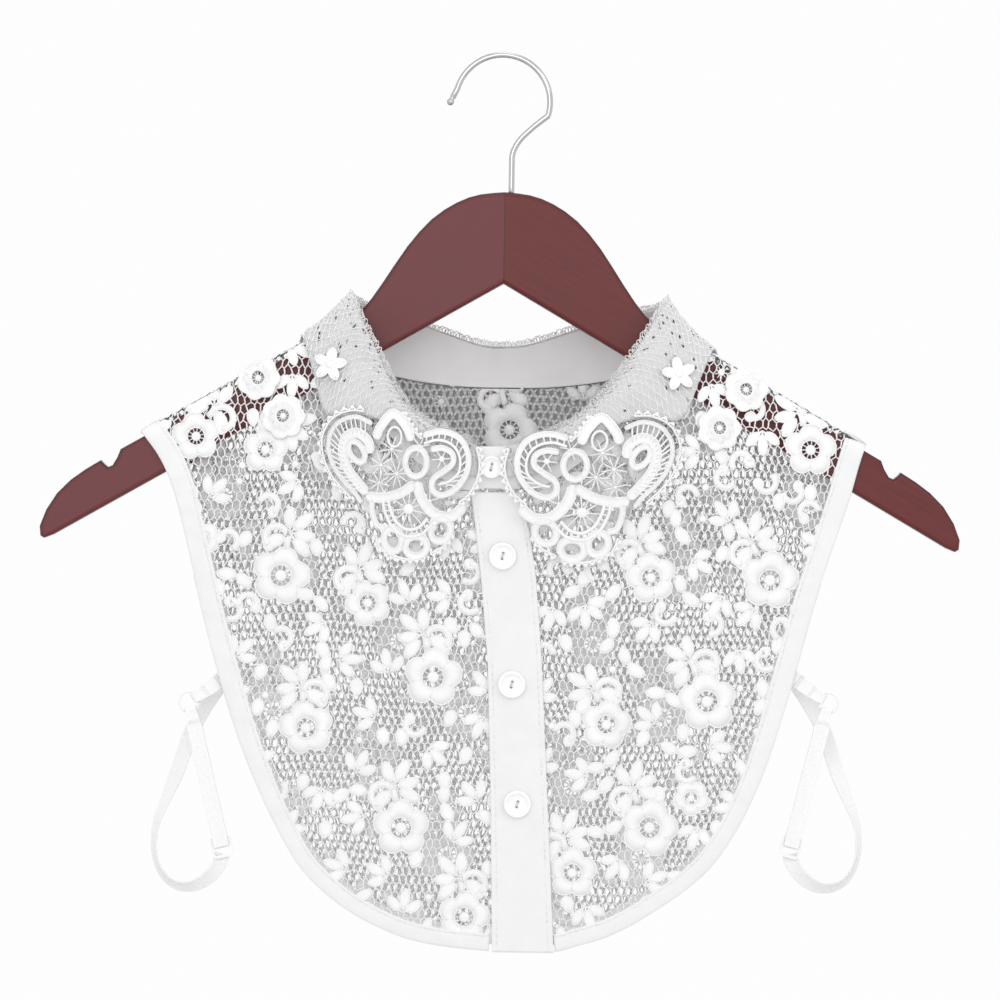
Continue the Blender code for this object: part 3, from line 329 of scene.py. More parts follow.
# The pattern of the garment: the front and back are worked on a flat pattern, whose places are
# given across and by level, and then laid over the hanger's arms, where the cloth bends.
ARM_SLOPE = 0.577
ARM_TOP_AT_CENTRE = -85.4
SOFT_TURN = 12.0
SOFT_TURN_DROP = 0.6
CREST_LIFT = 4.0
LACE_WALL = 1.0
GAP = 0.35
BEND_RADIUS = 6.9
FRONT_SWELL_NECK = 35.0
BACK_SWELL_NECK = 31.0
SWELL_HEM = 12.0
SWELL_HALF_WIDTH = 150.0
SWELL_MIDDLE = 4.0
SWELL_FADE = 30.0
NECK_LEVEL = -190.0
HEM_LEVEL = -427.0
FOLDS_START = -245.0
FOLDS_START_SOFTLY = 9.0
FOLDS = [
    # x at the chest, x at the hem, width, rise
    (-88.0, -78.0, 9.0, 1.7),
    (-66.0, -52.0, 8.0, -1.5),
    (52.0, 47.0, 9.0, 1.6),
    (74.0, 70.0, 8.0, -1.4),
    (112.0, 98.0, 10.0, 1.2),
]
CREASES = [
    # side, x at the top, x at the foot, top level, foot level, width, rise
    (-1, -96.0, -84.0, -262.0, -385.0, 5.0, 0.9),
    (-1, -74.0, -66.0, -270.0, -402.0, 4.0, -0.9),
    (-1, -58.0, -60.0, -285.0, -350.0, 3.5, 0.7),
    (-1, 40.0, 36.0, -272.0, -410.0, 4.5, 0.8),
    (-1, 60.0, 57.0, -288.0, -400.0, 4.0, -0.8),
    (-1, 118.0, 96.0, -268.0, -380.0, 5.0, 0.6),
    (1, -60.0, -48.0, -240.0, -400.0, 7.0, 1.2),
    (1, -22.0, -26.0, -260.0, -410.0, 6.0, -1.0),
    (1, 26.0, 30.0, -235.0, -395.0, 7.0, 1.1),
    (1, 70.0, 58.0, -250.0, -385.0, 6.0, -0.9),
]
OUTLINE = [
    # height, left edge in the picture, right edge in the picture
    (-195.0, -163.0, 171.0),
    (-210.0, -156.5, 167.0),
    (-230.0, -151.0, 160.5),
    (-260.0, -143.6, 151.0),
    (-290.0, -135.5, 143.0),
    (-320.0, -126.0, 134.5),
    (-345.0, -116.3, 126.0),
    (-370.0, -104.2, 114.0),
    (-390.0, -91.5, 99.0),
    (-407.0, -72.5, 77.0),
    (-418.0, -52.0, 57.5),
    (-424.0, -31.5, 40.0),
    (-427.0, -2.0, 28.0),
]
OUTLINE_POINTS = 400
SHOULDER_TIPS = (-172.5, 174.5)
FRONT_ABOVE_CREST = -4.0
BACK_ABOVE_CREST = 3.6
BINDING_WIDTH_ARMHOLE = 10.5
BINDING_WIDTH_HEM = 8.4
BINDING_NARROWS_FROM = -300.0
BINDING_NARROWS_OVER = 90.0
PLACKET = [
    # height, left edge, right edge
    (-208.0, -13.9, 9.4),
    (-228.0, -11.0, 14.3),
    (-249.0, -8.4, 17.5),
    (-289.0, -4.7, 20.8),
    (-356.0, -2.2, 24.7),
    (-427.5, -0.6, 28.7),
]
PANEL_UNDER_PLACKET = 8.0
COLLAR = [
    # middle, fold x, fold y, fold z, seam x, seam z, edge x, edge z, share in crinkled lace
    (-4.2, 6.7, -42.0, -187.0, 7.7, -208.6, 11.2, -219.0, 0.30),
    (-1.8, 16.0, -41.5, -183.5, 19.0, -206.8, 24.0, -240.0, 0.36),
    (-1.5, 29.5, -39.5, -179.0, 35.0, -197.5, 42.0, -245.0, 0.36),
    (-1.5, 41.5, -35.5, -172.0, 49.0, -185.5, 60.0, -234.0, 0.40),
    (-0.5, 52.0, -29.5, -160.0, 61.0, -171.0, 77.0, -211.0, 0.55),
    (1.0, 60.5, -22.0, -145.5, 71.0, -156.0, 86.0, -185.0, 0.85),
    (2.0, 69.0, -12.5, -127.5, 79.0, -141.5, 89.0, -160.0, 1.00),
    (2.7, 74.5, 0.0, -116.5, 84.5, None, 98.0, None, 1.00),
    (2.5, 71.0, 10.5, -119.0, 80.0, -140.5, 102.0, -162.0, 1.00),
    (1.5, 58.0, 21.0, -122.5, 68.0, -149.0, 88.0, -184.0, 1.00),
    (0.5, 36.0, 31.0, -129.5, 45.0, -155.0, 58.0, -198.0, 1.00),
    (0.0, 13.0, 36.0, -137.0, 18.0, -157.8, 20.0, -204.0, 1.00),
    (0.0, 0.0, 36.5, -138.5, 0.0, -158.0, 0.0, -205.0, 1.00),
]
SIDE_ROW = 7
COLLAR_STEPS = 10


def bend_centre(x):
    """Height of the centre of the cloth's bend over an arm."""
    arm = ARM_TOP_AT_CENTRE - ARM_SLOPE * (np.hypot(x, SOFT_TURN) - SOFT_TURN_DROP)
    return arm + CREST_LIFT - LACE_WALL - BEND_RADIUS


def crest(x):
    """Level of the shoulder's crest in the flat pattern, with its bend laid out upright."""
    return bend_centre(x) + BEND_RADIUS * math.pi / 2


def swell(x, down, z):
    """How far a panel stands off the plane of the hanger, with its soft folds."""
    side = np.where(down < 0, -1.0, 1.0)
    neck = np.where(down < 0, FRONT_SWELL_NECK, BACK_SWELL_NECK)
    depth = np.clip((NECK_LEVEL - z) / (NECK_LEVEL - HEM_LEVEL), 0.0, 1.0)
    size = neck + (SWELL_HEM - neck) * depth
    across = np.maximum(0.0, 1.0 - ((x - SWELL_MIDDLE) / SWELL_HALF_WIDTH) ** 2)
    stand_off = size * across * (1.0 - np.exp(-(down / SWELL_FADE) ** 2))
    start = 1.0 / (1.0 + np.exp((z - FOLDS_START) / FOLDS_START_SOFTLY))
    for chest_x, hem_x, width, rise in FOLDS:
        middle = chest_x + (hem_x - chest_x) * depth
        stand_off += rise * start * np.exp(-((side * x + middle) / width) ** 2)
    return side * stand_off


def cloth_surface(x, down):
    """The inner side of the front (down below 0) or back, by distance down from the crest."""
    turn = np.minimum(np.abs(down) / BEND_RADIUS, math.pi / 2)
    side = np.where(down < 0, -1.0, 1.0)
    y = side * BEND_RADIUS * np.sin(turn)
    z = bend_centre(x) + BEND_RADIUS * np.cos(turn)
    z = z - (np.abs(down) - BEND_RADIUS * turn)
    return np.stack([x, y + swell(x, down, z), z], axis=-1)


def cloth(x, down, out=0.0):
    """Points of the front or back, moved out from its inner side."""
    x, down, out = np.broadcast_arrays(*(np.asarray(v, dtype=float) for v in (x, down, out)))
    step = 0.2
    across = cloth_surface(x + step, down) - cloth_surface(x - step, down)
    along = cloth_surface(x, down + step) - cloth_surface(x, down - step)
    return cloth_surface(x, down) + out[..., None] * unit(np.cross(across, along))


def laid(x, level, side, out):
    """Points of the front (-1) or back (1) from their places in the flat pattern."""
    x, level = np.asarray(x, dtype=float), np.asarray(level, dtype=float)
    lift = np.zeros_like(x)
    for own_side, top_x, foot_x, top, foot, width, rise in CREASES:
        if own_side == side:
            depth = np.clip((level - top) / (foot - top), 0.0, 1.0)
            middle = top_x + (foot_x - top_x) * depth
            lift += rise * np.sin(math.pi * depth) ** 0.7 * np.exp(-((x - middle) / width) ** 2)
    return cloth(x, side * (crest(x) - level), out + lift)


def down_from_crest(x, z, side):
    """Distance down the cloth from the shoulder's crest, negative on the front."""
    centre = float(bend_centre(x))
    if z is None or z >= centre + BEND_RADIUS:
        return 0.0
    if z > centre:
        return side * BEND_RADIUS * math.acos((z - centre) / BEND_RADIUS)
    return side * (float(crest(x)) - z)


def collar_rows():
    """Fold, seam, edge and crinkled share, from the picture's left end round to its right."""
    rows = []
    for sign, order in ((-1, range(len(COLLAR))), (1, range(len(COLLAR) - 2, -1, -1))):
        for i in order:
            middle, fold_x, fold_y, fold_z, seam_x, seam_z, edge_x, edge_z, share = COLLAR[i]
            side = -1 if i < SIDE_ROW else 1
            seam = middle + sign * seam_x
            edge = middle + sign * edge_x
            rows.append((middle + sign * fold_x, fold_y, fold_z,
                         seam, down_from_crest(seam, seam_z, side),
                         edge, down_from_crest(edge, edge_z, side), share))
    return rows


COLLAR_LINE = through(collar_rows(), COLLAR_STEPS)


def shoulder_seam(x, side):
    return crest(x) + (FRONT_ABOVE_CREST if side < 0 else BACK_ABOVE_CREST)


def neck_line(side):
    """The neck seam of the front or back in the flat pattern, sorted across."""
    line = [(row[3], min(crest(row[3]) - side * row[4], shoulder_seam(row[3], side)))
            for row in COLLAR_LINE if row[4] * side >= 0.0]
    return np.array(sorted(line))


def outline(side):
    """The cut edge in the flat pattern, from one shoulder tip round the hem to the other."""
    left, right = SHOULDER_TIPS
    line = [(left, shoulder_seam(left, side))]
    line += [(row[1], row[0]) for row in OUTLINE]
    line += [(row[2], row[0]) for row in reversed(OUTLINE)]
    line += [(right, shoulder_seam(right, side))]
    return resample(through(line, 6), OUTLINE_POINTS)


def sideways(line, closed=False):
    """The way to the left of a flat line at each of its points."""
    if closed:
        along = np.roll(line, -1, axis=0) - np.roll(line, 1, axis=0)
    else:
        along = np.gradient(line, axis=0)
    along /= np.maximum(np.linalg.norm(along, axis=1), 1e-9)[:, None]
    return np.stack([-along[:, 1], along[:, 0]], axis=1)


def moved_in(line, side, gap):
    """The outline moved in by the width of the binding and a gap."""
    lower = np.clip((line[:, 1] - BINDING_NARROWS_FROM) / -BINDING_NARROWS_OVER, 0.0, 1.0)
    width = BINDING_WIDTH_ARMHOLE + (BINDING_WIDTH_HEM - BINDING_WIDTH_ARMHOLE) * lower + gap
    inner = line + sideways(line) * width[:, None]
    inner[:, 1] = np.minimum(inner[:, 1], shoulder_seam(inner[:, 0], side))
    return inner


def hem_index(x):
    """Which point of the front's outline is nearest to a place across the hem."""
    line = outline(-1)
    low = np.flatnonzero(line[:, 1] < HEM_LEVEL + 6.0)
    return int(low[np.argmin(np.abs(line[low, 0] - x))])


# The lace itself: a net of long six-sided cells, with woven flowers, leaves, curled stems and
# buds, each with a raised cord round it. It is machine lace of white cotton.
UNDER_BINDING = 5.0
NET_LOW = 0.36
NET_HIGH = 0.62
NET_CELL = 3.3
NET_PILLAR = 2.5
NET_SLANT = 1.7
NET_UNEVEN = 0.34
PILLAR_WIDTH = 0.80
THREAD_WIDTH = 0.62
WEAVE_LOW = 0.30
WEAVE_RIM = 0.60
WEAVE_CROWN = 0.64
CORD_WIDTH = 0.80
CORD_LOW = 0.42
CORD_HIGH = 0.84
FLOWER_PETALS = 5
EYE_SLOTS = 11
THREAD_WHITE = (0.94, 0.94, 0.94)
WEAVE_WHITE = (0.93, 0.93, 0.932)
# The weave's darker colour: painted shade for the gaps between its threads.
WEAVE_SHADE = (0.82, 0.82, 0.825)



def mottled(name, colour, roughness, texture, stops, depth, strength, sockets=()):
    """A finish whose colour and relief follow a fine cloudy texture."""
    made, tree, shader = new_finish(name, colour, roughness)
    for socket, value in dict(sockets).items():
        shader.inputs[socket].default_value = value
    where = node(tree, "TexCoord").outputs["Object"]
    clouds = node(tree, "TexNoise", {"Vector": where, **texture}).outputs["Fac"]
    raised(tree, shader, clouds, depth, strength)
    if stops:
        tree.links.new(graded(tree, clouds, stops), shader.inputs["Base Color"])
    return made


lace_thread = mottled("lace_thread", THREAD_WHITE, 0.75, {"Scale": 2600.0, "Detail": 2.0},
                      [(0.3, (0.88, 0.88, 0.88)), (0.65, THREAD_WHITE)], 0.12, 0.5, {"Sheen Weight": 0.15})


def woven(name, colour, gap_shade, pitch, turn, depth):
    """A cloth finish: two sets of fine threads that cross, with painted shade in the gaps between them."""
    made, tree, shader = new_finish(name, colour, 0.82)
    shader.inputs["Sheen Weight"].default_value = 0.1
    where = node(tree, "TexCoord").outputs["Object"]
    heights = []
    for angle in (turn, turn + 90.0):
        spun = node(tree, "VectorRotate", {"Vector": where, "Axis": (0.0, 1.0, 0.0),
                                           "Angle": math.radians(angle)}, rotation_type="AXIS_ANGLE")
        threads = node(tree, "TexWave", {"Vector": spun.outputs[0], "Scale": 0.314 / (pitch * MM),
                                         "Distortion": 0.6, "Detail": 1.0, "Detail Scale": 0.5},
                       bands_direction="X")
        heights.append(threads.outputs["Fac"])
    weave = node(tree, "Math", {0: heights[0], 1: heights[1]}, operation="MULTIPLY").outputs[0]
    soft = node(tree, "TexNoise", {"Vector": where, "Scale": 90.0, "Detail": 3.0})
    mixed = node(tree, "Math", {0: weave, 1: soft.outputs["Fac"]}, operation="ADD").outputs[0]
    # The gaps between the threads take the darker colour, mixed with a soft random tone: painted shade in the
    # gaps.
    shade = graded(tree, mixed, [(0.35, gap_shade), (1.05, colour)])
    tree.links.new(shade, shader.inputs["Base Color"])
    raised(tree, shader, weave, depth, 0.6)
    return made


lace_weave = woven("lace_weave", WEAVE_WHITE, WEAVE_SHADE, 1.05, 38.0, 0.16)


def inside(points, region):
    """Which flat points lie inside a closed outline."""
    x, y = points[:, 0], points[:, 1]
    found = np.zeros(len(points), dtype=bool)
    for (ax, ay), (bx, by) in zip(region, np.roll(region, -1, axis=0)):
        if ay != by:
            crosses = (ay > y) != (by > y)
            found ^= crosses & (x < (bx - ax) * (y - ay) / (by - ay) + ax)
    return found


def pulled_in(points, region):
    """The same points, with those outside a closed outline moved to the nearest place on it."""
    points = points.copy()
    away = np.flatnonzero(~inside(points[:, :2], region))
    if len(away) == 0:
        return points
    here = points[away, :2]
    best = np.full(len(away), np.inf)
    place = here.copy()
    for start, end in zip(region, np.roll(region, -1, axis=0)):
        span = end - start
        share = np.clip(((here - start) @ span) / max(span @ span, 1e-9), 0.0, 1.0)
        spot = start + share[:, None] * span
        distance = ((here - spot) ** 2).sum(axis=1)
        nearer = distance < best
        best[nearer] = distance[nearer]
        place[nearer] = spot[nearer]
    points[away, :2] = place
    return points


def strip(line, profile, closed=False, widths=None):
    """A body along a flat line; the profile gives places across and heights, round its section."""
    line = np.array(line, dtype=float)
    side = sideways(line, closed)
    widths = np.ones(len(line)) if widths is None else np.asarray(widths)
    rings = []
    for across, height in profile:
        flat = line + side * (across * widths)[:, None]
        rings.append(np.column_stack([flat, np.full(len(line), height)]))
    points = np.stack(rings, axis=1).reshape(-1, 3)
    return points, tube_faces(len(line), len(profile), closed)


def cord_profile(width=CORD_WIDTH, low=CORD_LOW, high=CORD_HIGH):
    return [(-width / 2, low), (0.0, high), (width / 2, low)]


def patch(line, low=WEAVE_LOW, rim=WEAVE_RIM, crown=WEAVE_CROWN):
    """A woven patch: a thin closed body over an outline, a little domed."""
    line = np.array(line, dtype=float)
    count = len(line)
    middle = line.mean(axis=0)
    inner = middle + (line - middle) * 0.55
    points = np.vstack([np.column_stack([line, np.full(count, low)]),
                        np.column_stack([line, np.full(count, rim)]),
                        np.column_stack([inner, np.full(count, crown)]),
                        [(*middle, crown), (*middle, low)]])
    faces = []
    for k in range(count):
        m = (k + 1) % count
        faces += [(k, m, count + m, count + k), (count + k, count + m, 2 * count + m, 2 * count + k),
                  (2 * count + k, 2 * count + m, 3 * count), (m, k, 3 * count + 1)]
    return points, faces


def new_work():
    """What is worked on one panel: woven bodies, cords, and the outlines that they cover."""
    return {"woven": [], "corded": [], "covered": [], "taken": []}


def ray(x, y, angle, reaches):
    """Places in a row that lead away from a spot."""
    return [(x + reach * math.cos(angle), y + reach * math.sin(angle)) for reach in reaches]


def oval(x, y, half_length, half_width, turn, count=16, point=0.0, spread=0.0):
    """A closed outline along the turn: round, drawn to a point at both ends, or wide at the far one."""
    angle = math.radians(turn)
    line = []
    for k in range(count):
        t = 2 * math.pi * k / count
        a = half_length * math.cos(t)
        b = half_width * math.sin(t) * abs(math.sin(t)) ** point * (1.0 + spread * math.cos(t))
        line.append((x + a * math.cos(angle) - b * math.sin(angle),
                     y + a * math.sin(angle) + b * math.cos(angle)))
    return np.array(line)


def add_patch(work, line):
    """A woven shape with a raised cord round it; shapes that overlap lie at slightly other heights."""
    step = 0.02 * (len(work["covered"]) % 4)
    work["woven"].append(patch(line, WEAVE_LOW + step, WEAVE_RIM + step, WEAVE_CROWN + step))
    work["corded"].append(strip(line, cord_profile(), closed=True))
    work["covered"].append(line)


def add_band(work, line, width):
    """A stem: a narrow woven band with a cord along each side."""
    half = width / 2
    work["woven"].append(strip(line, [(-half, WEAVE_LOW), (-half, 0.7), (half, 0.7), (half, WEAVE_LOW)]))
    side = sideways(line) * half
    for edge in (line + side, line - side):
        work["corded"].append(strip(edge, cord_profile()))
    work["covered"].append(np.vstack([line + side, (line - side)[::-1]]))


def add_flower(work, x, y, size, turn):
    """A flower woven in one: broad petals that meet along cords, round an eye ringed with slots."""
    petals = FLOWER_PETALS

    def ring(radii):
        angles = math.radians(turn) + 2 * math.pi * np.arange(len(radii)) / len(radii)
        return np.column_stack([x + radii * np.cos(angles), y + radii * np.sin(angles)])

    around = 13 * petals
    lobes = np.abs(np.cos(petals * math.pi * np.arange(around) / around)) ** 0.6
    sizes = 1.0 + 0.05 * np.sin(2.1 * np.round(petals * np.arange(around) / around) + x)
    rim = ring(size * (0.70 + 0.30 * lobes * sizes))
    heart = ring(np.full(around, size * 0.37))
    rings = [np.column_stack([line, np.full(around, height)]) for line, height in (
        (rim, WEAVE_LOW), (rim, WEAVE_RIM), (rim * 0.45 + heart * 0.55, WEAVE_CROWN), (heart, WEAVE_RIM),
        (heart, WEAVE_LOW))]
    work["woven"].append((np.stack(rings, axis=1).reshape(-1, 3), tube_faces(around, len(rings), True)))
    work["corded"].append(strip(rim, cord_profile(), closed=True))
    work["corded"].append(strip(heart[::2], cord_profile(), closed=True))
    for k in range(petals):
        angle = math.radians(turn) + 2 * math.pi * (k + 0.5) / petals
        divide = ray(x, y, angle, [size * share for share in (0.38, 0.54, 0.72)])
        work["corded"].append(strip(divide, cord_profile(0.7, CORD_LOW, 1.02)))
    work["woven"].append(patch(oval(x, y, size * 0.2, size * 0.2, 0.0, 14)))
    for k in range(EYE_SLOTS):
        angle = 2 * math.pi * (k + 0.5) / EYE_SLOTS
        spoke = ray(x, y, angle, (size * 0.17, size * 0.38))
        work["woven"].append(strip(spoke, cord_profile(size * 0.05, 0.3, 0.7)))
    work["covered"].append(rim)
    work["taken"].append((x, y, size))


def add_leaf(work, x, y, length, width, turn, bend=0.0):
    """A pointed leaf from its foot, that may bend sideways towards its tip."""
    angle = math.radians(turn)
    ahead = np.array((math.cos(angle), math.sin(angle)))
    side = np.array((-math.sin(angle), math.cos(angle)))
    line = oval(length / 2, 0.0, length / 2, width / 2, 0.0, 16, 0.30)
    line[:, 1] += bend * (line[:, 0] / length) ** 2
    add_patch(work, np.array((x, y)) + line[:, :1] * ahead + line[:, 1:] * side)


def add_curl(work, x, y, size, start, sweep, bud=3.0, width=2.7):
    """A stem that curls in from a foot and ends in a round bud."""
    steps = max(8, int(abs(math.radians(sweep)) * size / 1.3))
    first = math.radians(start)
    sign = math.copysign(1.0, sweep)
    centre = ray(x, y, first + sign * math.pi / 2, [size])[0]
    line = []
    for k in range(steps + 1):
        share = k / steps
        angle = first - sign * math.pi / 2 + math.radians(sweep) * share
        radius = size * (1.0 - 0.34 * share ** 1.5)
        line.append((centre[0] + radius * math.cos(angle), centre[1] + radius * math.sin(angle)))
    add_band(work, np.array(line), width)
    add_patch(work, oval(*line[-1], bud, bud * 0.86, start, 14))
    work["taken"].append((*centre, size * 0.9))


def add_spray(work, x, y, size, turn):
    """Three leaves that fan out from one foot, the middle one longest, on short stems."""
    for lean, reach in ((-54.0, 0.84), (0.0, 1.0), (54.0, 0.84)):
        a = math.radians(turn + lean)
        foot = ray(x, y, a, [0.18 * size])[0]
        add_leaf(work, *foot, size * reach, size * 0.44, turn + lean, -0.08 * size * np.sign(lean))
        stem = [(x, y), foot] + ray(*foot, a, [0.1 * size])
        work["corded"].append(strip(stem, cord_profile(1.2, 0.3, 0.9)))
    work["taken"].append((*ray(x, y, math.radians(turn), [0.6 * size])[0], size * 0.78))


def add_star(work, x, y, size):
    """A small blob with threads that ray out of it to the net."""
    work["woven"].append(patch(oval(x, y, size * 0.55, size * 0.55, 0.0, 10), 0.3, 0.8, 1.0))
    work["covered"].append(oval(x, y, size * 0.5, size * 0.5, 0.0, 10))
    for k in range(9):
        angle = 2 * math.pi * k / 9 + x
        thread = ray(x, y, angle, (size * 0.45, size * 1.05))
        work["corded"].append(strip(thread, cord_profile(0.55, 0.3, 0.85)))
    work["taken"].append((x, y, size))


def add_sprig(work, x, y, size, lean, mirror):
    """The growth over a flower: a stem that ends in a spray, with a curl and two leaves off it."""
    s = -1.0 if mirror else 1.0
    up = 90.0 + lean

    def spot(along, across):
        a = math.radians(up)
        return (x + along * math.cos(a) + s * across * math.sin(a),
                y + along * math.sin(a) - s * across * math.cos(a))

    def bearing(turn):
        return up - s * turn

    stem = [spot(size * k, off) for k, off in ((0.95, 0.0), (1.15, 0.7), (1.35, 0.9), (1.55, 0.4))]
    add_band(work, np.array(stem), 2.6)
    fork = spot(size * 1.36, 0.8)
    add_spray(work, *spot(size * 1.5, 0.2), 12.0, bearing(-38.0))
    add_curl(work, *fork, 6.4, bearing(22.0), s * -215.0)
    add_leaf(work, *spot(size * 1.3, 2.2), 10.5, 6.0, bearing(118.0), -1.2 * s)
    add_leaf(work, *spot(size * 1.3, -2.2), 10.5, 5.6, bearing(-118.0), 1.2 * s)


def add_fillers(work, region, seed, tries=1500):
    """Sprays, leaves, small flowers, curls and stars in what room the flowers and sprigs leave."""
    chance = random.Random(seed)
    low, high = region.min(axis=0), region.max(axis=0)
    kinds = ("spray", "spray", "curl", "curl", "pair", "pair", "bloom", "drop", "drop", "star")
    room = {"spray": 7.6, "bloom": 8.0, "curl": 6.2, "pair": 5.6, "drop": 3.5, "star": 3.0}
    for attempt in range(tries):
        spot = (chance.uniform(low[0], high[0]), chance.uniform(low[1], high[1]))
        turn = chance.uniform(0.0, 360.0)
        kind = kinds[attempt * len(kinds) // tries]
        if any(math.hypot(spot[0] - x, spot[1] - y) < room[kind] + r * 0.92 for x, y, r in work["taken"]):
            continue
        if not inside(np.array([spot]), region)[0]:
            continue
        if kind == "spray":
            a = math.radians(turn)
            add_spray(work, spot[0] - 6.0 * math.cos(a), spot[1] - 6.0 * math.sin(a), 10.0, turn)
        elif kind == "bloom":
            add_flower(work, *spot, 8.6, turn)
        elif kind == "curl":
            add_curl(work, *spot, 5.2, turn, chance.choice((-220.0, 220.0)), 2.7, 2.4)
        elif kind == "pair":
            add_leaf(work, *spot, 9.5, 5.6, turn, 1.2)
            add_leaf(work, *spot, 8.5, 5.2, turn + 165.0, -1.2)
            work["taken"].append((*spot, 5.4))
        elif kind == "drop":
            add_patch(work, oval(*spot, 4.1, 2.8, 60.0 + turn / 6.0, 14, 0.15, 0.2))
            work["taken"].append((*spot, 3.4))
        else:
            add_star(work, *spot, 3.0)


def net_lines(region, covered, seed, cell=NET_CELL, pillar=NET_PILLAR, slant=NET_SLANT):
    """The threads of the net, as their two ends and widths, where nothing woven covers them."""
    low, high = region.min(axis=0) - cell, region.max(axis=0) + cell
    columns = int((high[0] - low[0]) / cell) + 2
    rows = int((high[1] - low[1]) / (pillar + slant)) + 2
    column, row = np.meshgrid(np.arange(columns), np.arange(rows), indexing="ij")
    x = low[0] + (column + 0.5 * (row % 2)) * cell
    y = low[1] + row * (pillar + slant)
    rng = np.random.default_rng(seed)
    foot = np.stack([x, y], -1) + rng.normal(0.0, NET_UNEVEN, (columns, rows, 2))
    head = np.stack([x, y + pillar], -1) + rng.normal(0.0, NET_UNEVEN, (columns, rows, 2))
    for knots in (foot, head):
        knots[..., 0] += 1.2 * np.sin(knots[..., 1] / 12.0) * np.cos(knots[..., 0] / 19.0)
        knots[..., 1] += 1.0 * np.sin(knots[..., 0] / 15.0 + 1.0)
    starts, ends, widths = [foot.reshape(-1, 2)], [head.reshape(-1, 2)], [PILLAR_WIDTH]
    odd = (row[:, :-1] % 2).astype(int)
    for step in (0, 1):
        target = np.clip(column[:, :-1] + odd - 1 + step, 0, columns - 1)
        starts.append(head[:, :-1].reshape(-1, 2))
        ends.append(foot[target, row[:, :-1] + 1].reshape(-1, 2))
        widths.append(THREAD_WIDTH)
    width = np.concatenate([np.full(len(s), w) for s, w in zip(starts, widths)])
    start, end = np.concatenate(starts), np.concatenate(ends)
    kept = np.linalg.norm(end - start, axis=1) < 2.2 * (pillar + slant)
    kept &= inside((start + end) / 2, region)
    for line in covered:
        lowest, highest = line.min(axis=0), line.max(axis=0)
        middle = (start + end) / 2
        near = np.flatnonzero(kept & (middle > lowest).all(axis=1) & (middle < highest).all(axis=1))
        if len(near):
            kept[near[inside(middle[near], line)]] = False
    return start[kept], end[kept], width[kept]


def net_bodies(start, end, width):
    """Three-sided threads with closed ends, from their ends and widths."""
    along = end - start
    along /= np.maximum(np.linalg.norm(along, axis=1), 1e-9)[:, None]
    start, end = start - along * 0.12, end + along * 0.12
    side = np.stack([-along[:, 1], along[:, 0]], axis=1) * (width / 2)[:, None]
    rings = []
    for place in (start, end):
        for shift, height in ((-1.0, NET_LOW), (0.0, NET_HIGH), (1.0, NET_LOW)):
            rings.append(np.column_stack([place + side * shift, np.full(len(place), height)]))
    points = np.stack(rings, axis=1).reshape(-1, 3)
    base = np.arange(len(start))[:, None] * 6
    sides = np.concatenate([base + np.array(q) for q in ((0, 1, 4, 3), (1, 2, 5, 4), (2, 0, 3, 5))])
    caps = np.concatenate([base + np.array(t) for t in ((2, 1, 0), (3, 4, 5))])
    return points, sides.tolist() + caps.tolist()


def joined(bodies):
    """Several bodies as one list of points and one of faces."""
    points, faces, count = [], [], 0
    for own_points, own_faces in bodies:
        points.append(np.asarray(own_points, dtype=float))
        faces.extend([[i + count for i in face] for face in own_faces])
        count += len(own_points)
    return np.concatenate(points), faces


def lace_piece(name, work, region, place, replaced, seed, fullness=1.0, **mesh_of):
    """A whole lace panel: its net and what is worked on it, kept inside its outline."""
    start, end, width = net_lines(region, work["covered"], seed, **mesh_of)
    threads = net_bodies(start, end, width * fullness)
    woven_points, woven_faces = joined(work["woven"])
    corded_points, corded_faces = joined(work["corded"] + [threads])
    points, faces = joined([(woven_points, woven_faces), (corded_points, corded_faces)])
    points = pulled_in(points, region)
    marks = [0] * len(woven_faces) + [1] * len(corded_faces)
    return piece(name, place(points), faces, [lace_weave, lace_thread], replaced, marks)


# The two lace fronts. They are cut from lace whose flowers climb in slanting columns, meet
# under the button band, and are sewn to the back along the shoulders and bound at the edge.
FRONT_FLOWERS = {
    # across, level, radius, turn, lean of the spray over it, mirrored
    "front_right": [
        (-30.5, -296.7, 14.0, 12.0, 14.0, 0),
        (-44.7, -368.9, 13.6, 20.0, 10.0, 1),
        (-103.7, -249.8, 14.0, 4.0, -12.0, 1),
        (-146.0, -184.0, 11.5, 26.0, -30.0, 0),
        (-90.5, -322.0, 13.0, 30.0, 8.0, 0),
        (-14.0, -411.0, 12.5, 8.0, 8.0, 0),
        (-112.0, -190.0, 11.0, 14.0, -40.0, 1),
        (-62.0, -262.0, 11.0, 40.0, 16.0, 1),
    ],
    "front_left": [
        (129.1, -248.5, 14.0, 10.0, 26.0, 1),
        (99.8, -306.6, 14.0, 24.0, 24.0, 0),
        (73.4, -367.1, 13.8, 4.0, 24.0, 1),
        (148.0, -186.0, 12.5, 16.0, 18.0, 0),
        (72.0, -248.0, 12.0, 30.0, 20.0, 1),
        (52.0, -318.0, 12.0, 8.0, 22.0, 0),
        (37.0, -389.0, 12.0, 18.0, 14.0, 1),
    ],
}
FRONT_LAP = 5.0
split_top = PLACKET[0][1] + PANEL_UNDER_PLACKET
split_foot = PLACKET[-1][1] + PANEL_UNDER_PLACKET
front_inner = moved_in(outline(-1), -1, -UNDER_BINDING)
front_neck = neck_line(-1)


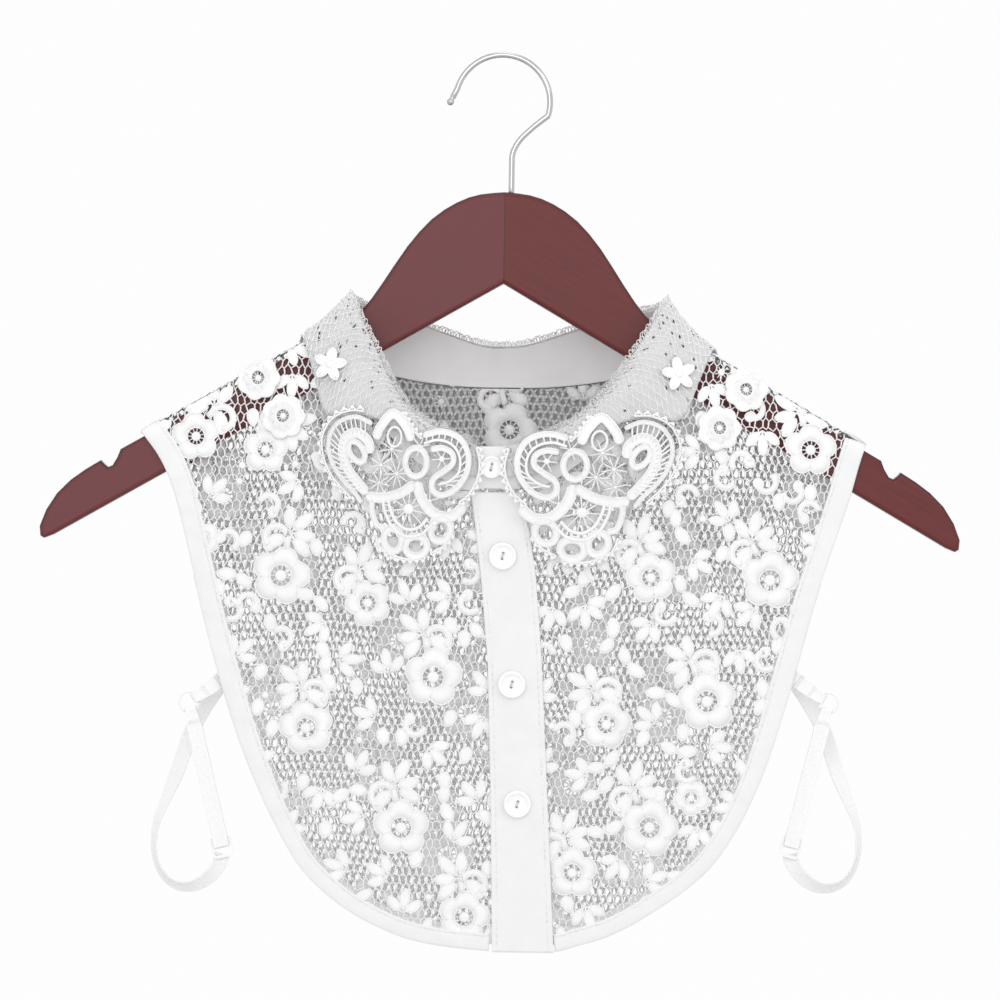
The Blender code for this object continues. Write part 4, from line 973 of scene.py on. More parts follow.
def front_region(half):
    """The flat outline of one front, under its binding's and the button band's edges."""
    if half == "front_right":
        lower = front_inner[:hem_index(split_foot)]
        upper = front_neck[front_neck[:, 0] < split_top][::-1]
    else:
        lower = front_inner[hem_index(split_foot + FRONT_LAP):][::-1]
        upper = front_neck[front_neck[:, 0] > split_top + GAP]
    corner = upper[-1]
    shoulder = [(x, shoulder_seam(x, -1)) for x in np.linspace(corner[0], lower[0][0], 12)]
    return np.vstack([lower, upper, shoulder[1:-1]])


def front_place(points):
    return laid(points[:, 0], points[:, 1], -1, points[:, 2])


for seed, half in enumerate(("front_right", "front_left")):
    work = new_work()
    region = front_region(half)
    for x, level, size, turn, lean, mirror in FRONT_FLOWERS[half]:
        add_flower(work, x, level, size, turn)
    for x, level, size, turn, lean, mirror in FRONT_FLOWERS[half]:
        add_sprig(work, x, level, size, lean, mirror)
    add_fillers(work, region, 11 + seed)
    panel = lace_piece("lace_" + half, work, region, front_place, [half], 21 + seed)

# The lace back: cut whole from the same lace with a closer net, hung behind the hanger and
# sewn to the fronts along the shoulders. Its inside shows in the neck, over the button band.
BACK_FIRST_FLOWER = (4.0, -178.0)
BACK_COLUMN_STEP = 47.0
BACK_ROW_STEP = 69.0
BACK_ROW_DRIFT = 9.0
BACK_CELL = 3.4
BACK_PILLAR = 2.0
BACK_SLANT = 1.8
BACK_FULLNESS = 2.3
BACK_TRIES = 300
back_inner = moved_in(outline(1), 1, -UNDER_BINDING)
back_neck = neck_line(1)
left_shoulder = [(x, shoulder_seam(x, 1)) for x in np.linspace(back_inner[0][0], back_neck[0][0], 12)]
right_shoulder = [(x, shoulder_seam(x, 1)) for x in np.linspace(back_neck[-1][0], back_inner[-1][0], 12)]
back_region = np.vstack([back_inner[::-1], left_shoulder[1:-1], back_neck, right_shoulder[1:-1]])
work = new_work()
rows_of_flowers = []
for column in range(-3, 4):
    for row in range(4):
        x = BACK_FIRST_FLOWER[0] + column * BACK_COLUMN_STEP - BACK_ROW_DRIFT * row + 4.0 * (column % 2)
        level = BACK_FIRST_FLOWER[1] - BACK_ROW_STEP * row - BACK_ROW_STEP / 2 * (column % 2)
        if inside(np.array([(x, level)]), back_region)[0]:
            rows_of_flowers.append((x, level, 13.4 - 1.4 * (column % 2), 15.0 * column))
for x, level, size, turn in rows_of_flowers:
    add_flower(work, x, level, size, turn)
for x, level, size, turn in rows_of_flowers:
    add_sprig(work, x, level, size, 10.0, int(turn) % 30 == 0)
add_fillers(work, back_region, 31, BACK_TRIES)
panel = lace_piece("lace_back", work, back_region, lambda p: laid(p[:, 0], p[:, 1], 1, p[:, 2]),
                   ["back_panel"], 41, BACK_FULLNESS, cell=BACK_CELL, pillar=BACK_PILLAR, slant=BACK_SLANT)

# The binding: a bias strip of plain cotton, folded over the cut edge of front and back and
# stitched down by machine. The back's runs from tip to tip, the fronts' stop at the band.
BINDING_WALL = 1.9
BINDING_INSIDE = 0.35
BINDING_STEP = 1.9
WHOLE_EDGE_LENGTH = 980.0
BINDING_SEAM_SHARE = 0.845
STITCH = 2.3
STITCH_GAP = 1.1
COTTON_WHITE = (0.85, 0.85, 0.852)
# The second colour is painted shade in the gaps of the weave.
cotton = woven("plain_cotton", COTTON_WHITE, (0.79, 0.79, 0.795), 0.42, 45.0, 0.05)
sewing_thread = mottled("sewing_thread", (0.86, 0.86, 0.86), 0.6, {"Scale": 3000.0, "Detail": 2.0}, [],
                        0.08, 0.6)


def puckers(points, size, rise):
    """A small uneven rise for each point, as sewn cotton has."""
    return np.array([rise * noise.noise(Vector(p) / size) for p in points])


def stitches(line, length=STITCH, gap=STITCH_GAP, thick=0.42):
    """Machine stitches along a line of points with their outward ways: short pads of thread."""
    line = np.asarray(line, dtype=float)
    along = distances(line[:, :3])
    starts = np.arange(0.4, along[-1] - length, length + gap)
    points, faces = [], []
    for start in starts:
        ring = []
        for share, size in ((0.0, 0.35), (0.2, 1.0), (0.8, 1.0), (1.0, 0.35)):
            spot = read_off(start + share * length, along, line)
            ring.append((spot[:3], spot[3:], size))
        ahead = unit(ring[-1][0] - ring[0][0])
        base = len(points)
        for here, way, size in ring:
            side = np.cross(ahead, way)
            for across, out in ((-1.0, -0.2), (0.0, 0.55), (1.0, -0.2)):
                points.append(here + side * across * thick * size / 2 + way * out * thick * size)
        faces += [[i + base for i in face] for face in tube_faces(4, 3)]
    return np.array(points), faces


def edge_band(side, first, last):
    """Points of a binding by its closed section, and the line of its stitches."""
    line, inner = outline(side), moved_in(outline(side), side, 0.0)
    shares = np.linspace(first, last, int(abs(last - first) * WHOLE_EDGE_LENGTH / BINDING_STEP))
    marks = np.arange(OUTLINE_POINTS)
    edge = read_off(shares * marks[-1], marks, line)
    back = read_off(shares * marks[-1], marks, inner)
    high = BINDING_WALL - BINDING_INSIDE
    section = [(0.0, 0.1), (0.0, 0.9), (0.05, high - 0.2), (0.14, high), (0.38, high + 0.02), (0.62, high),
               (0.76, high - 0.06), (0.84, high - 0.34), (0.91, high - 0.1), (0.97, high - 0.25), (1.0, 0.75),
               (1.0, 0.0), (0.94, -BINDING_INSIDE), (0.5, -BINDING_INSIDE), (0.06, -BINDING_INSIDE)]
    rings = []
    for across, out in section:
        flat = edge + (back - edge) * across
        flat[:, 1] = np.minimum(flat[:, 1], shoulder_seam(flat[:, 0], side))
        wave = puckers(np.column_stack([flat, np.full(len(flat), across)]), 5.5, 0.28) * (out > 0.5)
        rings.append(laid(flat[:, 0], flat[:, 1], side, out + wave))
    rings = np.stack(rings, axis=1)
    flat = edge + (back - edge) * BINDING_SEAM_SHARE
    flat[:, 1] = np.minimum(flat[:, 1], shoulder_seam(flat[:, 0], side))
    on = laid(flat[:, 0], flat[:, 1], side, high - 0.22)
    way = laid(flat[:, 0], flat[:, 1], side, high + 0.78) - on
    return rings, np.hstack([on, way])


def sewn(name, body, threads, replaced):
    """A cotton piece with its stitches, as one mesh of two finishes."""
    points, faces = joined([body] + threads)
    marks = [0] * len(body[1]) + [1] * (len(faces) - len(body[1]))
    return piece(name, points, faces, [cotton, sewing_thread], [replaced], marks)


hem_at_right = hem_index(PLACKET[-1][1] - 2 * GAP) / (OUTLINE_POINTS - 1)
hem_at_left = hem_index(PLACKET[-1][2] + 2 * GAP) / (OUTLINE_POINTS - 1)
for name, side, first, last in (("binding_front_right", -1, 0.0, hem_at_right),
                                ("binding_front_left", -1, 1.0, hem_at_left),
                                ("binding_back", 1, 0.0, 1.0)):
    rings, seam = edge_band(side, first, last)
    body = (rings.reshape(-1, 3), tube_faces(*rings.shape[:2]))
    made = sewn("sewn_" + name, body, [stitches(seam)], name)

# The button band: a strip of cotton folded double and stitched near both edges, laid over
# the edges of the two fronts. It widens a little towards the hem.
COTTON_WALL = 1.2
BAND_SEAMS = (0.085, 0.915)


def shell(inside, outside, kept=None):
    """A cloth wall between two grids of points, with a rim round it and round missing cells."""
    rows, columns = inside.shape[:2]
    index = np.arange(rows * columns).reshape(rows, columns)
    cells = np.stack([index[:-1, :-1], index[:-1, 1:], index[1:, 1:], index[1:, :-1]], axis=-1)
    cells = cells.reshape(-1, 4) if kept is None else cells[kept]
    edges = {(int(a), int(b)) for cell in cells for a, b in zip(cell, np.roll(cell, -1))}
    rim = [(a, b) for a, b in edges if (b, a) not in edges]
    size = rows * columns
    faces = cells.tolist() + (cells[:, ::-1] + size).tolist()
    faces += [[b, a, a + size, b + size] for a, b in sorted(rim)]
    points = np.concatenate([inside.reshape(-1, 3), outside.reshape(-1, 3)])
    used = np.unique([i for face in faces for i in face])
    order = np.zeros(len(points), dtype=int)
    order[used] = np.arange(len(used))
    return points[used], [[int(order[i]) for i in face] for face in faces]


def on_front(x, z, out):
    """Points of the front at places of the picture."""
    down = [down_from_crest(a, b, -1) for a, b in zip(np.ravel(x), np.ravel(z))]
    return laid(np.ravel(x), crest(np.ravel(x)) + np.array(down), -1, np.ravel(out))


table = np.array(sorted(PLACKET))
levels = np.linspace(PLACKET[0][0] - GAP, PLACKET[-1][0], 150)
across = np.concatenate([[0.0, 0.012, 0.04], np.linspace(0.075, 0.925, 13), [0.96, 0.988, 1.0]])
left = np.interp(levels, table[:, 0], table[:, 1])[:, None]
right = np.interp(levels, table[:, 0], table[:, 2])[:, None]
x = left + (right - left) * across[None, :]
z = np.repeat(levels[:, None], len(across), axis=1)
from_edge = np.minimum(across, 1.0 - across)
round_off = 0.42 * np.clip(1.0 - from_edge / 0.04, 0.0, 1.0) ** 2
groove = 0.16 * np.exp(-((from_edge - BAND_SEAMS[0]) / 0.02) ** 2)
lift = puckers(np.column_stack([x.ravel() * 1.6, z.ravel(), x.ravel() * 0.0]), 7.0, 0.22).reshape(x.shape)
under, over = LACE_WALL + GAP, LACE_WALL + GAP + COTTON_WALL
inner = on_front(x, z, under + round_off[None, :] * 0.6 + x * 0.0).reshape(*x.shape, 3)
outer = on_front(x, z, over - round_off[None, :] - groove[None, :] + lift).reshape(*x.shape, 3)
lines = []
for share in BAND_SEAMS:
    seam_x = (left + (right - left) * share)[:, 0]
    on, above = (on_front(seam_x, levels, np.full(len(seam_x), over + lift)) for lift in (-0.08, 0.92))
    lines.append(stitches(np.hstack([on, above - on])))
band = sewn("button_band", shell(inner, outer), lines, "front_placket")

# The collar's stand: a smooth cotton band that stands round the neck, seamed to front and
# back at its foot. Its right end laps over its left, and its inside shows at the back.
STAND_LAP_STEPS = 8
STAND_LAP = 9.4
STAND_LAP_FOOT = -207.4
STAND_OVER_SEAM = 0.5
rows = COLLAR_LINE
kept = (rows[:, 0] >= STAND_LAP) | (np.arange(len(rows)) <= len(rows) / 2)
rows = rows[kept]
before = np.vstack([rows[:1], rows[:-1]])
after = np.vstack([rows[1:], rows[-1:]])
foot = cloth(rows[:, 3], rows[:, 4])
top = rows[:, :3]


def facing_out(up, along):
    return unit(np.cross(up, along))


out = facing_out(top - foot, after[:, :3] - before[:, :3])
lap_x = np.linspace(STAND_LAP - GAP, COLLAR_LINE[0][0], STAND_LAP_STEPS + 1)[:-1]
lap_foot = on_front(lap_x, np.full(STAND_LAP_STEPS, STAND_LAP_FOOT), np.zeros(STAND_LAP_STEPS))
lap_top = np.array([(x, COLLAR[0][2], COLLAR[0][3]) for x in lap_x])
foot = np.vstack([lap_foot, foot])
top = np.vstack([lap_top, top])
out = np.vstack([np.tile([0.0, -1.0, 0.0], (STAND_LAP_STEPS, 1)), out])
foot = foot + unit(top - foot) * STAND_OVER_SEAM
shares = np.array([0.0, 0.03, 0.07, 0.11, 0.15, 0.2, 0.3, 0.4, 0.5, 0.6, 0.7, 0.8, 0.88, 0.94, 0.98, 1.0])
inner = foot[:, None] + (top - foot)[:, None] * shares[None, :, None]
inner = inner + out[:, None] * (0.8 * np.sin(math.pi * shares))[None, :, None]
soft = puckers(inner.reshape(-1, 3), 9.0, 0.35).reshape(inner.shape[:2])
soft = soft + puckers(inner.reshape(-1, 3) * (1.0, 1.0, 0.4), 3.2, 0.16).reshape(inner.shape[:2])
soft[:, [0, -1]] = 0.0
hollow = 0.22 * np.exp(-((shares - 0.13) / 0.025) ** 2)
inner = inner + out[:, None] * (soft * 0.7 + hollow[None, :])[..., None]
outer = inner + out[:, None] * (COTTON_WALL - 2 * hollow)[None, :, None]
stand = sewn("neck_stand", shell(inner, outer), [], "collar_stand")

# The fall: lace crinkled all over, turned down over the stand and shoulders. Wavy threads run
# down it from the fold to its edge, pinholes open beside the fold, and picots stand along it.
FOLD_ROOM = 0.7
FALL_STAND_OFF = 4.0
FALL_OVER_PANEL = 1.4
FALL_WALL = 1.2
FALL_DEPTH = 44.0
FALL_THREAD_GAP = 0.9
FALL_WAVE = 6.8
# The fall's white lace is darkened all over with painted shade, and its weave's gaps darker still with
# painted shade.
FALL_WHITE_PAINTED_SHADE = (0.68, 0.68, 0.685)
FALL_SHADE = (0.54, 0.54, 0.55)
CRINKLES = ((5.0, 0.7), (1.9, 0.3))
PINHOLES_FROM = 0.03
PINHOLES_BY_FOLD_TO = 0.13
PINHOLES_BY_FOLD = 0.12
PINHOLES_ELSEWHERE = 0.012
PINHOLES_OVER_ARM = 0.05
OVER_ARM_WITHIN = 17.0
PICOT_STEP = 0.56
STATION_WIDTH = 2.1
before = np.vstack([COLLAR_LINE[:1], COLLAR_LINE[:-1]])
after = np.vstack([COLLAR_LINE[1:], COLLAR_LINE[-1:]])
fall_along = after[:, :3] - before[:, :3]
fold = COLLAR_LINE[:, :3]
fall_up = unit(fold - cloth(COLLAR_LINE[:, 3], COLLAR_LINE[:, 4]))
fall_out = facing_out(fall_up, fall_along)
fall_begin = fold + fall_out * (COTTON_WALL + FOLD_ROOM) + np.array([0.0, 0.0, 0.5])
fall_end = cloth(COLLAR_LINE[:, 5], COLLAR_LINE[:, 6], LACE_WALL + FALL_OVER_PANEL)
fall_over_seam = cloth(COLLAR_LINE[:, 3], COLLAR_LINE[:, 4], LACE_WALL + FALL_STAND_OFF)
fall_pull = 2.0 * fall_over_seam - 0.5 * (fall_begin + fall_end)
stations = np.arange(len(COLLAR_LINE))
last_station = len(COLLAR_LINE) - 1.0


def on_fall(station, share, out):
    """Points of the fall, by station along the collar and share from the fold to its edge."""
    begin, pull, end, along = (read_off(station, stations, line)
                               for line in (fall_begin, fall_pull, fall_end, fall_along))
    s = np.asarray(share)[..., None]
    here = (1 - s) ** 2 * begin + 2 * s * (1 - s) * pull + s ** 2 * end
    down = 2 * (1 - s) * (pull - begin) + 2 * s * (end - pull)
    return here + np.asarray(out)[..., None] * facing_out(along, down)


def crinkled(station, share):
    """The uneven rise of the crinkled lace at places of the fall."""
    base = on_fall(station, share, np.zeros(np.shape(station)))
    rise = sum(puckers(base.reshape(-1, 3), size, height) for size, height in CRINKLES)
    return np.maximum(rise.reshape(np.shape(station)) * np.clip(np.asarray(share) * 12.0, 0.3, 1.0), -0.25)


crinkle = woven("crinkled_lace", FALL_WHITE_PAINTED_SHADE, FALL_SHADE, 0.9, 31.0, 0.2)
station, share = np.meshgrid(np.arange(0, last_station + 0.01, 0.75), np.linspace(0.0, 1.0, 27),
                             indexing="ij")
share = share * np.interp(station, stations, COLLAR_LINE[:, 7])
rise = crinkled(station, share)
inner = on_fall(station, share, rise)
outer = on_fall(station, share, rise + 0.62)
chance = np.random.default_rng(7)
below = share[:-1, :-1]
by_fold = (below > PINHOLES_FROM) & (below < PINHOLES_BY_FOLD_TO)
over_arm = np.abs(np.interp(station[:-1, :-1], stations, COLLAR_LINE[:, 1])) < OVER_ARM_WITHIN
pinholes = np.where(by_fold, PINHOLES_BY_FOLD, PINHOLES_ELSEWHERE)
pinholes += np.where(over_arm & (below > PINHOLES_FROM), PINHOLES_OVER_ARM, 0.0)
solid = chance.random(pinholes.shape) > pinholes
solid[:, [0, -1]] = True
solid[[0, -1], :] = True
bodies = [shell(inner, outer, solid)]
for i, middle in enumerate(np.arange(0.4, last_station - 0.4, FALL_THREAD_GAP)):
    far = np.interp(middle, stations, COLLAR_LINE[:, 7])
    down = np.linspace(0.0, far, int(far * FALL_DEPTH / 1.05))
    wave = 2 * math.pi * down * FALL_DEPTH / FALL_WAVE + math.pi * i + chance.uniform(-0.6, 0.6)
    swing = 0.42 * np.cos(wave)
    sway = 0.35 * np.array([noise.noise(Vector((0.2 * middle, 5.0 * d, 1.0))) for d in down])
    across = np.clip(middle + (swing + sway) * np.clip(down * 20.0, 0.2, 1.0), 0.2, last_station - 0.2)
    height = crinkled(across, down)
    sides = [on_fall(across + shift, down, height + lift)
             for shift, lift in ((-0.13, 0.4), (0.0, 1.2), (0.13, 0.4))]
    bodies.append((np.stack(sides, axis=1).reshape(-1, 3), tube_faces(len(down), 3)))
for middle in np.arange(0.8, last_station - 0.8, PICOT_STEP):
    radius = chance.uniform(0.9, 1.7)
    turns = np.linspace(-0.5, chance.uniform(3.6, 5.2), 8) + chance.uniform(-0.4, 0.4)
    ways = np.stack([np.cos(turns) * 0.8, np.sin(turns) + 0.5], axis=1) * radius
    points, faces = strip(ways, [(-0.24, 0.1), (0.0, 0.65), (0.24, 0.1)])
    across = np.clip(middle + points[:, 0] / STATION_WIDTH, 0.0, last_station)
    stood = on_fall(across, np.zeros(len(across)), points[:, 2] + 0.35 + 0.3 * points[:, 1])
    bodies.append((stood + read_off(across, stations, fall_up) * points[:, 1:2] * 0.95, faces))
fall_points, fall_faces = joined(bodies)
solid_count = len(bodies[0][1])
marks = [0] * solid_count + [1] * (len(fall_faces) - solid_count)
fall = piece("crinkled_fall", fall_points, fall_faces, [crinkle, lace_thread], ["collar_fall"], marks)

# The corner motifs: guipure, embroidered scrolls, rings and fans of thick cord whose ground
# is dissolved away, so that only bars and webs join them. One lies on each end of the fall, and
# the right one is the left one mirrored, a little narrower as it hangs.
OVER_FALL = 1.4
FRONT_OF_NECK = -42.0
MIRROR_SHIFT = (8.3, -0.4, 0.0)
MIRROR_SCALE = 0.905
RIB = 0.3
RIB_STEP = 0.8
EDGE_CORD = 0.85
PICOT_KNOT = 0.95
MOTIF_MIDDLE = np.array((43.0, -201.0))
MOTIF_BANDS = [
    # width, then the line of the band, across and height
    (3.0, [(31.5, -182.8), (22.0, -180.8), (13.0, -183.5), (8.2, -190.5), (8.4, -199.5), (14.0, -207.6),
           (21.4, -210.8), (26.2, -208.2), (25.8, -203.2), (20.4, -199.4), (15.8, -195.6), (16.4, -190.9),
           (21.6, -188.6), (27.4, -189.4)]),
    (1.5, [(31.0, -186.6), (24.0, -184.8), (16.6, -186.8), (12.4, -192.4), (12.6, -199.6), (17.6, -204.2),
           (23.2, -205.8)]),
    (4.8, [(37.4, -185.4), (40.6, -178.4), (47.2, -172.6), (53.6, -178.6), (56.4, -184.8)]),
    (5.0, [(59.2, -191.6), (60.2, -185.8), (66.0, -182.0), (71.8, -184.0), (73.6, -190.6), (71.0, -198.4),
           (65.4, -205.4), (60.4, -210.4)]),
    (2.2, [(58.2, -177.6), (66.6, -174.4), (75.2, -176.6), (80.2, -182.6), (81.0, -190.0), (78.4, -197.4),
           (73.4, -204.0), (67.0, -210.2), (63.2, -215.0)]),
    (4.9, [(35.2, -205.6), (43.6, -210.4), (52.6, -212.4), (61.0, -211.8)]),
    (5.4, [(9.4, -215.6), (15.6, -220.4), (22.6, -220.6), (28.8, -216.6), (32.6, -210.8), (34.4, -204.6)]),
    (1.8, [(28.6, -221.8), (33.2, -226.2), (39.4, -227.2), (44.8, -223.8), (48.2, -217.6), (49.2, -213.4)]),
    (1.7, [(26.0, -224.6), (32.4, -229.6), (40.0, -230.4), (46.6, -226.6), (51.0, -219.0), (52.0, -213.6)]),
    (3.0, [(57.8, -213.4), (57.6, -219.0), (55.0, -225.2), (50.6, -226.6)]),
]
MOTIF_LADDERS = [
    # band, band, first and last share of each, rungs
    (0, 1, 0.0, 0.50, 0.0, 1.0, 13),
    (3, 4, 0.16, 0.96, 0.04, 0.90, 19),
    (7, 8, 0.0, 0.98, 0.0, 0.98, 13),
]
MOTIF_RINGS = [
    # across, height, half width, half height, turn, cord width
    (35.0, -195.4, 5.6, 6.7, 0.0, 3.0),
    (21.6, -227.2, 4.9, 5.6, 35.0, 3.5),
    (34.4, -235.0, 5.7, 4.7, -4.0, 3.7),
    (46.6, -232.2, 4.7, 5.3, -20.0, 3.6),
    (46.4, -183.6, 3.6, 4.6, 0.0, 1.3),
    (66.2, -190.8, 5.6, 3.4, 52.0, 3.0),
]
MOTIF_WEBS = [
    # across, height, reach, rays, blob
    (47.8, -189.4, 5.6, 9, 0.9),
    (53.4, -197.0, 5.4, 9, 0.9),
    (45.0, -201.0, 5.8, 10, 0.9),
    (54.2, -205.4, 5.0, 8, 0.8),
    (21.6, -193.8, 4.6, 6, 1.5),
    (38.6, -217.6, 8.6, 11, 2.7),
    (27.6, -213.6, 5.0, 5, 0.9),
    (33.0, -188.0, 4.6, 6, 0.8),
]
MOTIF_PICOTS = [
    # line that the picots stand on, how many, their rise
    ([(3.6, -188.0), (1.9, -195.6), (3.2, -203.4), (7.4, -210.2), (12.6, -214.2)], 9, 1.9),
    ([(62.6, -171.6), (71.0, -171.6), (79.6, -175.6), (84.4, -183.6), (84.0, -192.0), (80.6, -200.2),
      (75.0, -207.0), (68.8, -212.8)], 15, 1.7),
    ([(15.8, -228.4), (19.8, -234.6), (27.0, -238.4)], 5, 1.5),
    ([(29.4, -240.2), (38.6, -241.2), (46.0, -239.6), (53.0, -236.0), (56.0, -229.4)], 10, 1.5),
    ([(32.6, -184.4), (38.0, -179.0), (42.8, -172.0)], 5, 1.5),
]
# The second colour is painted shade in the gaps of the weave.
guipure = woven("guipure_thread", (0.95, 0.95, 0.95), (0.86, 0.86, 0.87), 0.62, 12.0, 0.14)

station, share = np.meshgrid(np.arange(0, len(COLLAR_LINE), 1), np.linspace(0.0, 1.12, 15), indexing="ij")
skin_points = on_fall(station, share, np.full(station.shape, FALL_WALL))
down = share.shape[1]
skin_faces = []
for i in range(len(COLLAR_LINE) - 1):
    if max(COLLAR_LINE[i][1], COLLAR_LINE[i + 1][1]) < 3.0:
        skin_faces += [(i * down + k, i * down + k + 1, (i + 1) * down + k + 1, (i + 1) * down + k)
                       for k in range(down - 1)]
skin = BVHTree.FromPolygons([Vector(p) for p in skin_points.reshape(-1, 3)], skin_faces)


def on_collar(points):
    """Points over the fall's front from their places in the picture and their rise."""
    placed = []
    for x, z, rise in points:
        hit = skin.ray_cast(Vector((x, -200.0, z)), Vector((0.0, 1.0, 0.0)))[0]
        if hit is None:
            hit = skin.find_nearest(Vector((x, FRONT_OF_NECK, z)))[0]
        placed.append((x, hit.y - OVER_FALL - rise, z))
    return np.array(placed)


def satin_profile(width):
    """The section of an embroidered band: a cord along each edge and a lower middle, which is ribbed."""
    h = width / 2
    high = EDGE_CORD
    cord = min(EDGE_CORD, width * 0.3)
    return [(-h, 0.05), (-h, high * 0.7), (-h + cord * 0.5, high + 0.3), (-h + cord, high * 0.42),
            (0.0, high * 0.55),
            (h - cord, high * 0.42), (h - cord * 0.5, high + 0.3), (h, high * 0.7), (h, 0.05)]


def round_profile(width, high):
    """The section of a plain cord or bar."""
    half, brow = width / 2, width * 0.36
    return [(-half, 0.1), (-brow, high * 0.75), (0.0, high), (brow, high * 0.75), (half, 0.1)]


def drawn(line, spacing=0.75):
    """A smooth line through a few places, with its points evenly spaced."""
    smooth = through(line, 10)
    length = np.linalg.norm(np.diff(smooth, axis=0), axis=1).sum()
    return resample(smooth, max(4, int(length / spacing)))


def embroidered(line, width):
    """A satin-stitched band with rounded ends, cross ribs and a cord along each edge."""
    line = drawn(line, RIB_STEP)
    from_end = np.minimum(np.arange(len(line)), np.arange(len(line))[::-1]) * RIB_STEP
    shares = np.sqrt(1.0 - (1.0 - np.clip((from_end + 0.25) / (width / 2), 0.0, 1.0)) ** 2)
    points, faces = strip(line, satin_profile(width), False, shares)
    ribbed = points.reshape(len(line), -1, 3)
    ribbed[::2, 3:-3, 2] += RIB
    return ribbed.reshape(-1, 3), faces


def guipure_motif():
    """All the bodies of one motif, flat, as across, height and rise."""
    bodies = []
    lines = [drawn(line) for width, line in MOTIF_BANDS]
    for width, line in MOTIF_BANDS:
        if width > 2.0:
            bodies.append(embroidered(line, width))
        else:
            bodies.append(strip(drawn(line), round_profile(width, 1.35)))
    for first, second, a0, a1, b0, b1, rungs in MOTIF_LADDERS:
        for k in range(rungs):
            t = (k + 0.5) / rungs
            a = lines[first][int((a0 + (a1 - a0) * t) * (len(lines[first]) - 1))]
            b = lines[second][int((b0 + (b1 - b0) * t) * (len(lines[second]) - 1))]
            bodies.append(strip([a, (a + b) / 2, b], round_profile(0.9, 0.9)))
    for x, z, wide, tall, turn, width in MOTIF_RINGS:
        if width > 2.0:
            bodies.append(strip(oval(x, z, wide, tall, turn, 60), satin_profile(width), closed=True))
        else:
            bodies.append(strip(oval(x, z, wide, tall, turn, 36), round_profile(width, 1.3), closed=True))
    for x, z, reach, rays, blob in MOTIF_WEBS:
        bodies.append(patch(oval(x, z, blob, blob * 0.92, 0.0, 14), 0.1, 0.75, 1.25))
        for k in range(rays):
            bar = ray(x, z, 2 * math.pi * (k + 0.3) / rays + x, (blob * 0.6, reach * 0.6, reach * 1.15))
            bodies.append(strip(bar, round_profile(0.72, 0.75)))
    for line, count, rise in MOTIF_PICOTS:
        bodies.append(strip(drawn(line), round_profile(1.1, 1.05)))
        spots = resample(through(line, 8), count + 1)
        for here, there in zip(spots[:-1], spots[1:]):
            span = there - here
            outward = np.array((span[1], -span[0])) / np.linalg.norm(span)
            outward *= math.copysign(rise, outward @ (here - MOTIF_MIDDLE))
            arc = [here + span * t + outward * math.sin(math.pi * t) for t in np.linspace(0.0, 1.0, 7)]
            bodies.append(strip(arc, round_profile(0.95, 1.15)))
            knot = oval(*(here + span / 2 + outward), PICOT_KNOT, PICOT_KNOT, 0.0, 10)
            bodies.append(patch(knot, 0.1, 0.9, 1.4))
    return joined(bodies)


points, faces = guipure_motif()
mirrored_points = points * (-MIRROR_SCALE, 1.0, 1.0) - MIRROR_SHIFT
mirrored_faces = [face[::-1] for face in faces]
for side_name, own_points, own_faces in (("left", points, faces), ("right", mirrored_points, mirrored_faces)):
    motif = piece("motif_on_%s_end" % side_name, on_collar(own_points), own_faces, [guipure],
                  ["collar_motif_" + side_name])

# The sewn-on trims: round double flowers of guipure with spoked eyes on the shoulders, and
# leafy stars on the fall, each embroidered in one and sewn down from below.
FLOWER_RADIUS = 10.4
FLOWER_STEPS = 96
FLOWER_SPOKES = 11
STAR_LEAVES = 5
TRIM_FLOWERS = {
    "applique_flower_1": (-116.0, -156.5),
    "applique_flower_2": (-103.0, -174.5),
    "applique_flower_3": (116.0, -158.5),
    "applique_flower_4": (102.8, -177.0),
}
TRIM_STARS = {"applique_star_1": (-82.0, -149.0), "applique_star_2": (84.0, -151.0)}
TRIM_SECTION = [
    # share of the radius, rise
    (0.29, 0.3), (0.29, 1.5), (0.34, 2.15), (0.40, 1.6), (0.47, 2.3), (0.54, 1.65), (0.62, 2.2), (0.68, 1.2),
    (0.74, 0.95), (0.82, 1.25), (0.90, 0.9), (0.97, 1.35), (1.02, 0.8), (1.02, 0.1), (0.66, 0.0),
]
for name, (x, z) in TRIM_FLOWERS.items():
    level = float(crest(x)) + down_from_crest(x, z, -1)
    rings = []
    for k in range(FLOWER_STEPS):
        turn = 2 * math.pi * k / FLOWER_STEPS
        for share, rise in TRIM_SECTION:
            scallop = abs(math.cos(3.5 * turn)) - 1.0
            inner = abs(math.cos(4.5 * turn + 0.6)) - 1.0
            radius = FLOWER_RADIUS * share * (1.0 + (0.13 if share > 0.7 else 0.0) * scallop
                                              + (0.10 if 0.5 < share <= 0.7 else 0.0) * inner)
            rib = 0.12 * math.cos(FLOWER_STEPS / 3 * turn) * (share > 0.4) * (rise > 0.5)
            rings.append((x + radius * math.cos(turn), level + radius * math.sin(turn),
                          LACE_WALL + 1.5 * GAP + rise + rib))
    bodies = [(np.array(rings), tube_faces(FLOWER_STEPS, len(TRIM_SECTION), True))]
    for k in range(FLOWER_SPOKES):
        spoke = ray(x, level, 2 * math.pi * k / FLOWER_SPOKES + x,
                    [FLOWER_RADIUS * share for share in (0.05, 0.18, 0.31)])
        bodies.append(strip(spoke, [(-0.3, LACE_WALL + 0.8), (0.0, LACE_WALL + 1.7), (0.3, LACE_WALL + 0.8)]))
    bodies.append(patch(oval(x, level, 1.5, 1.4, 0.0, 14), LACE_WALL + 0.8, LACE_WALL + 1.5, LACE_WALL + 2.3))
    points, faces = joined(bodies)
    trim = piece("trim_" + name[9:], laid(points[:, 0], points[:, 1], -1, points[:, 2]), faces, [guipure],
                 [name])
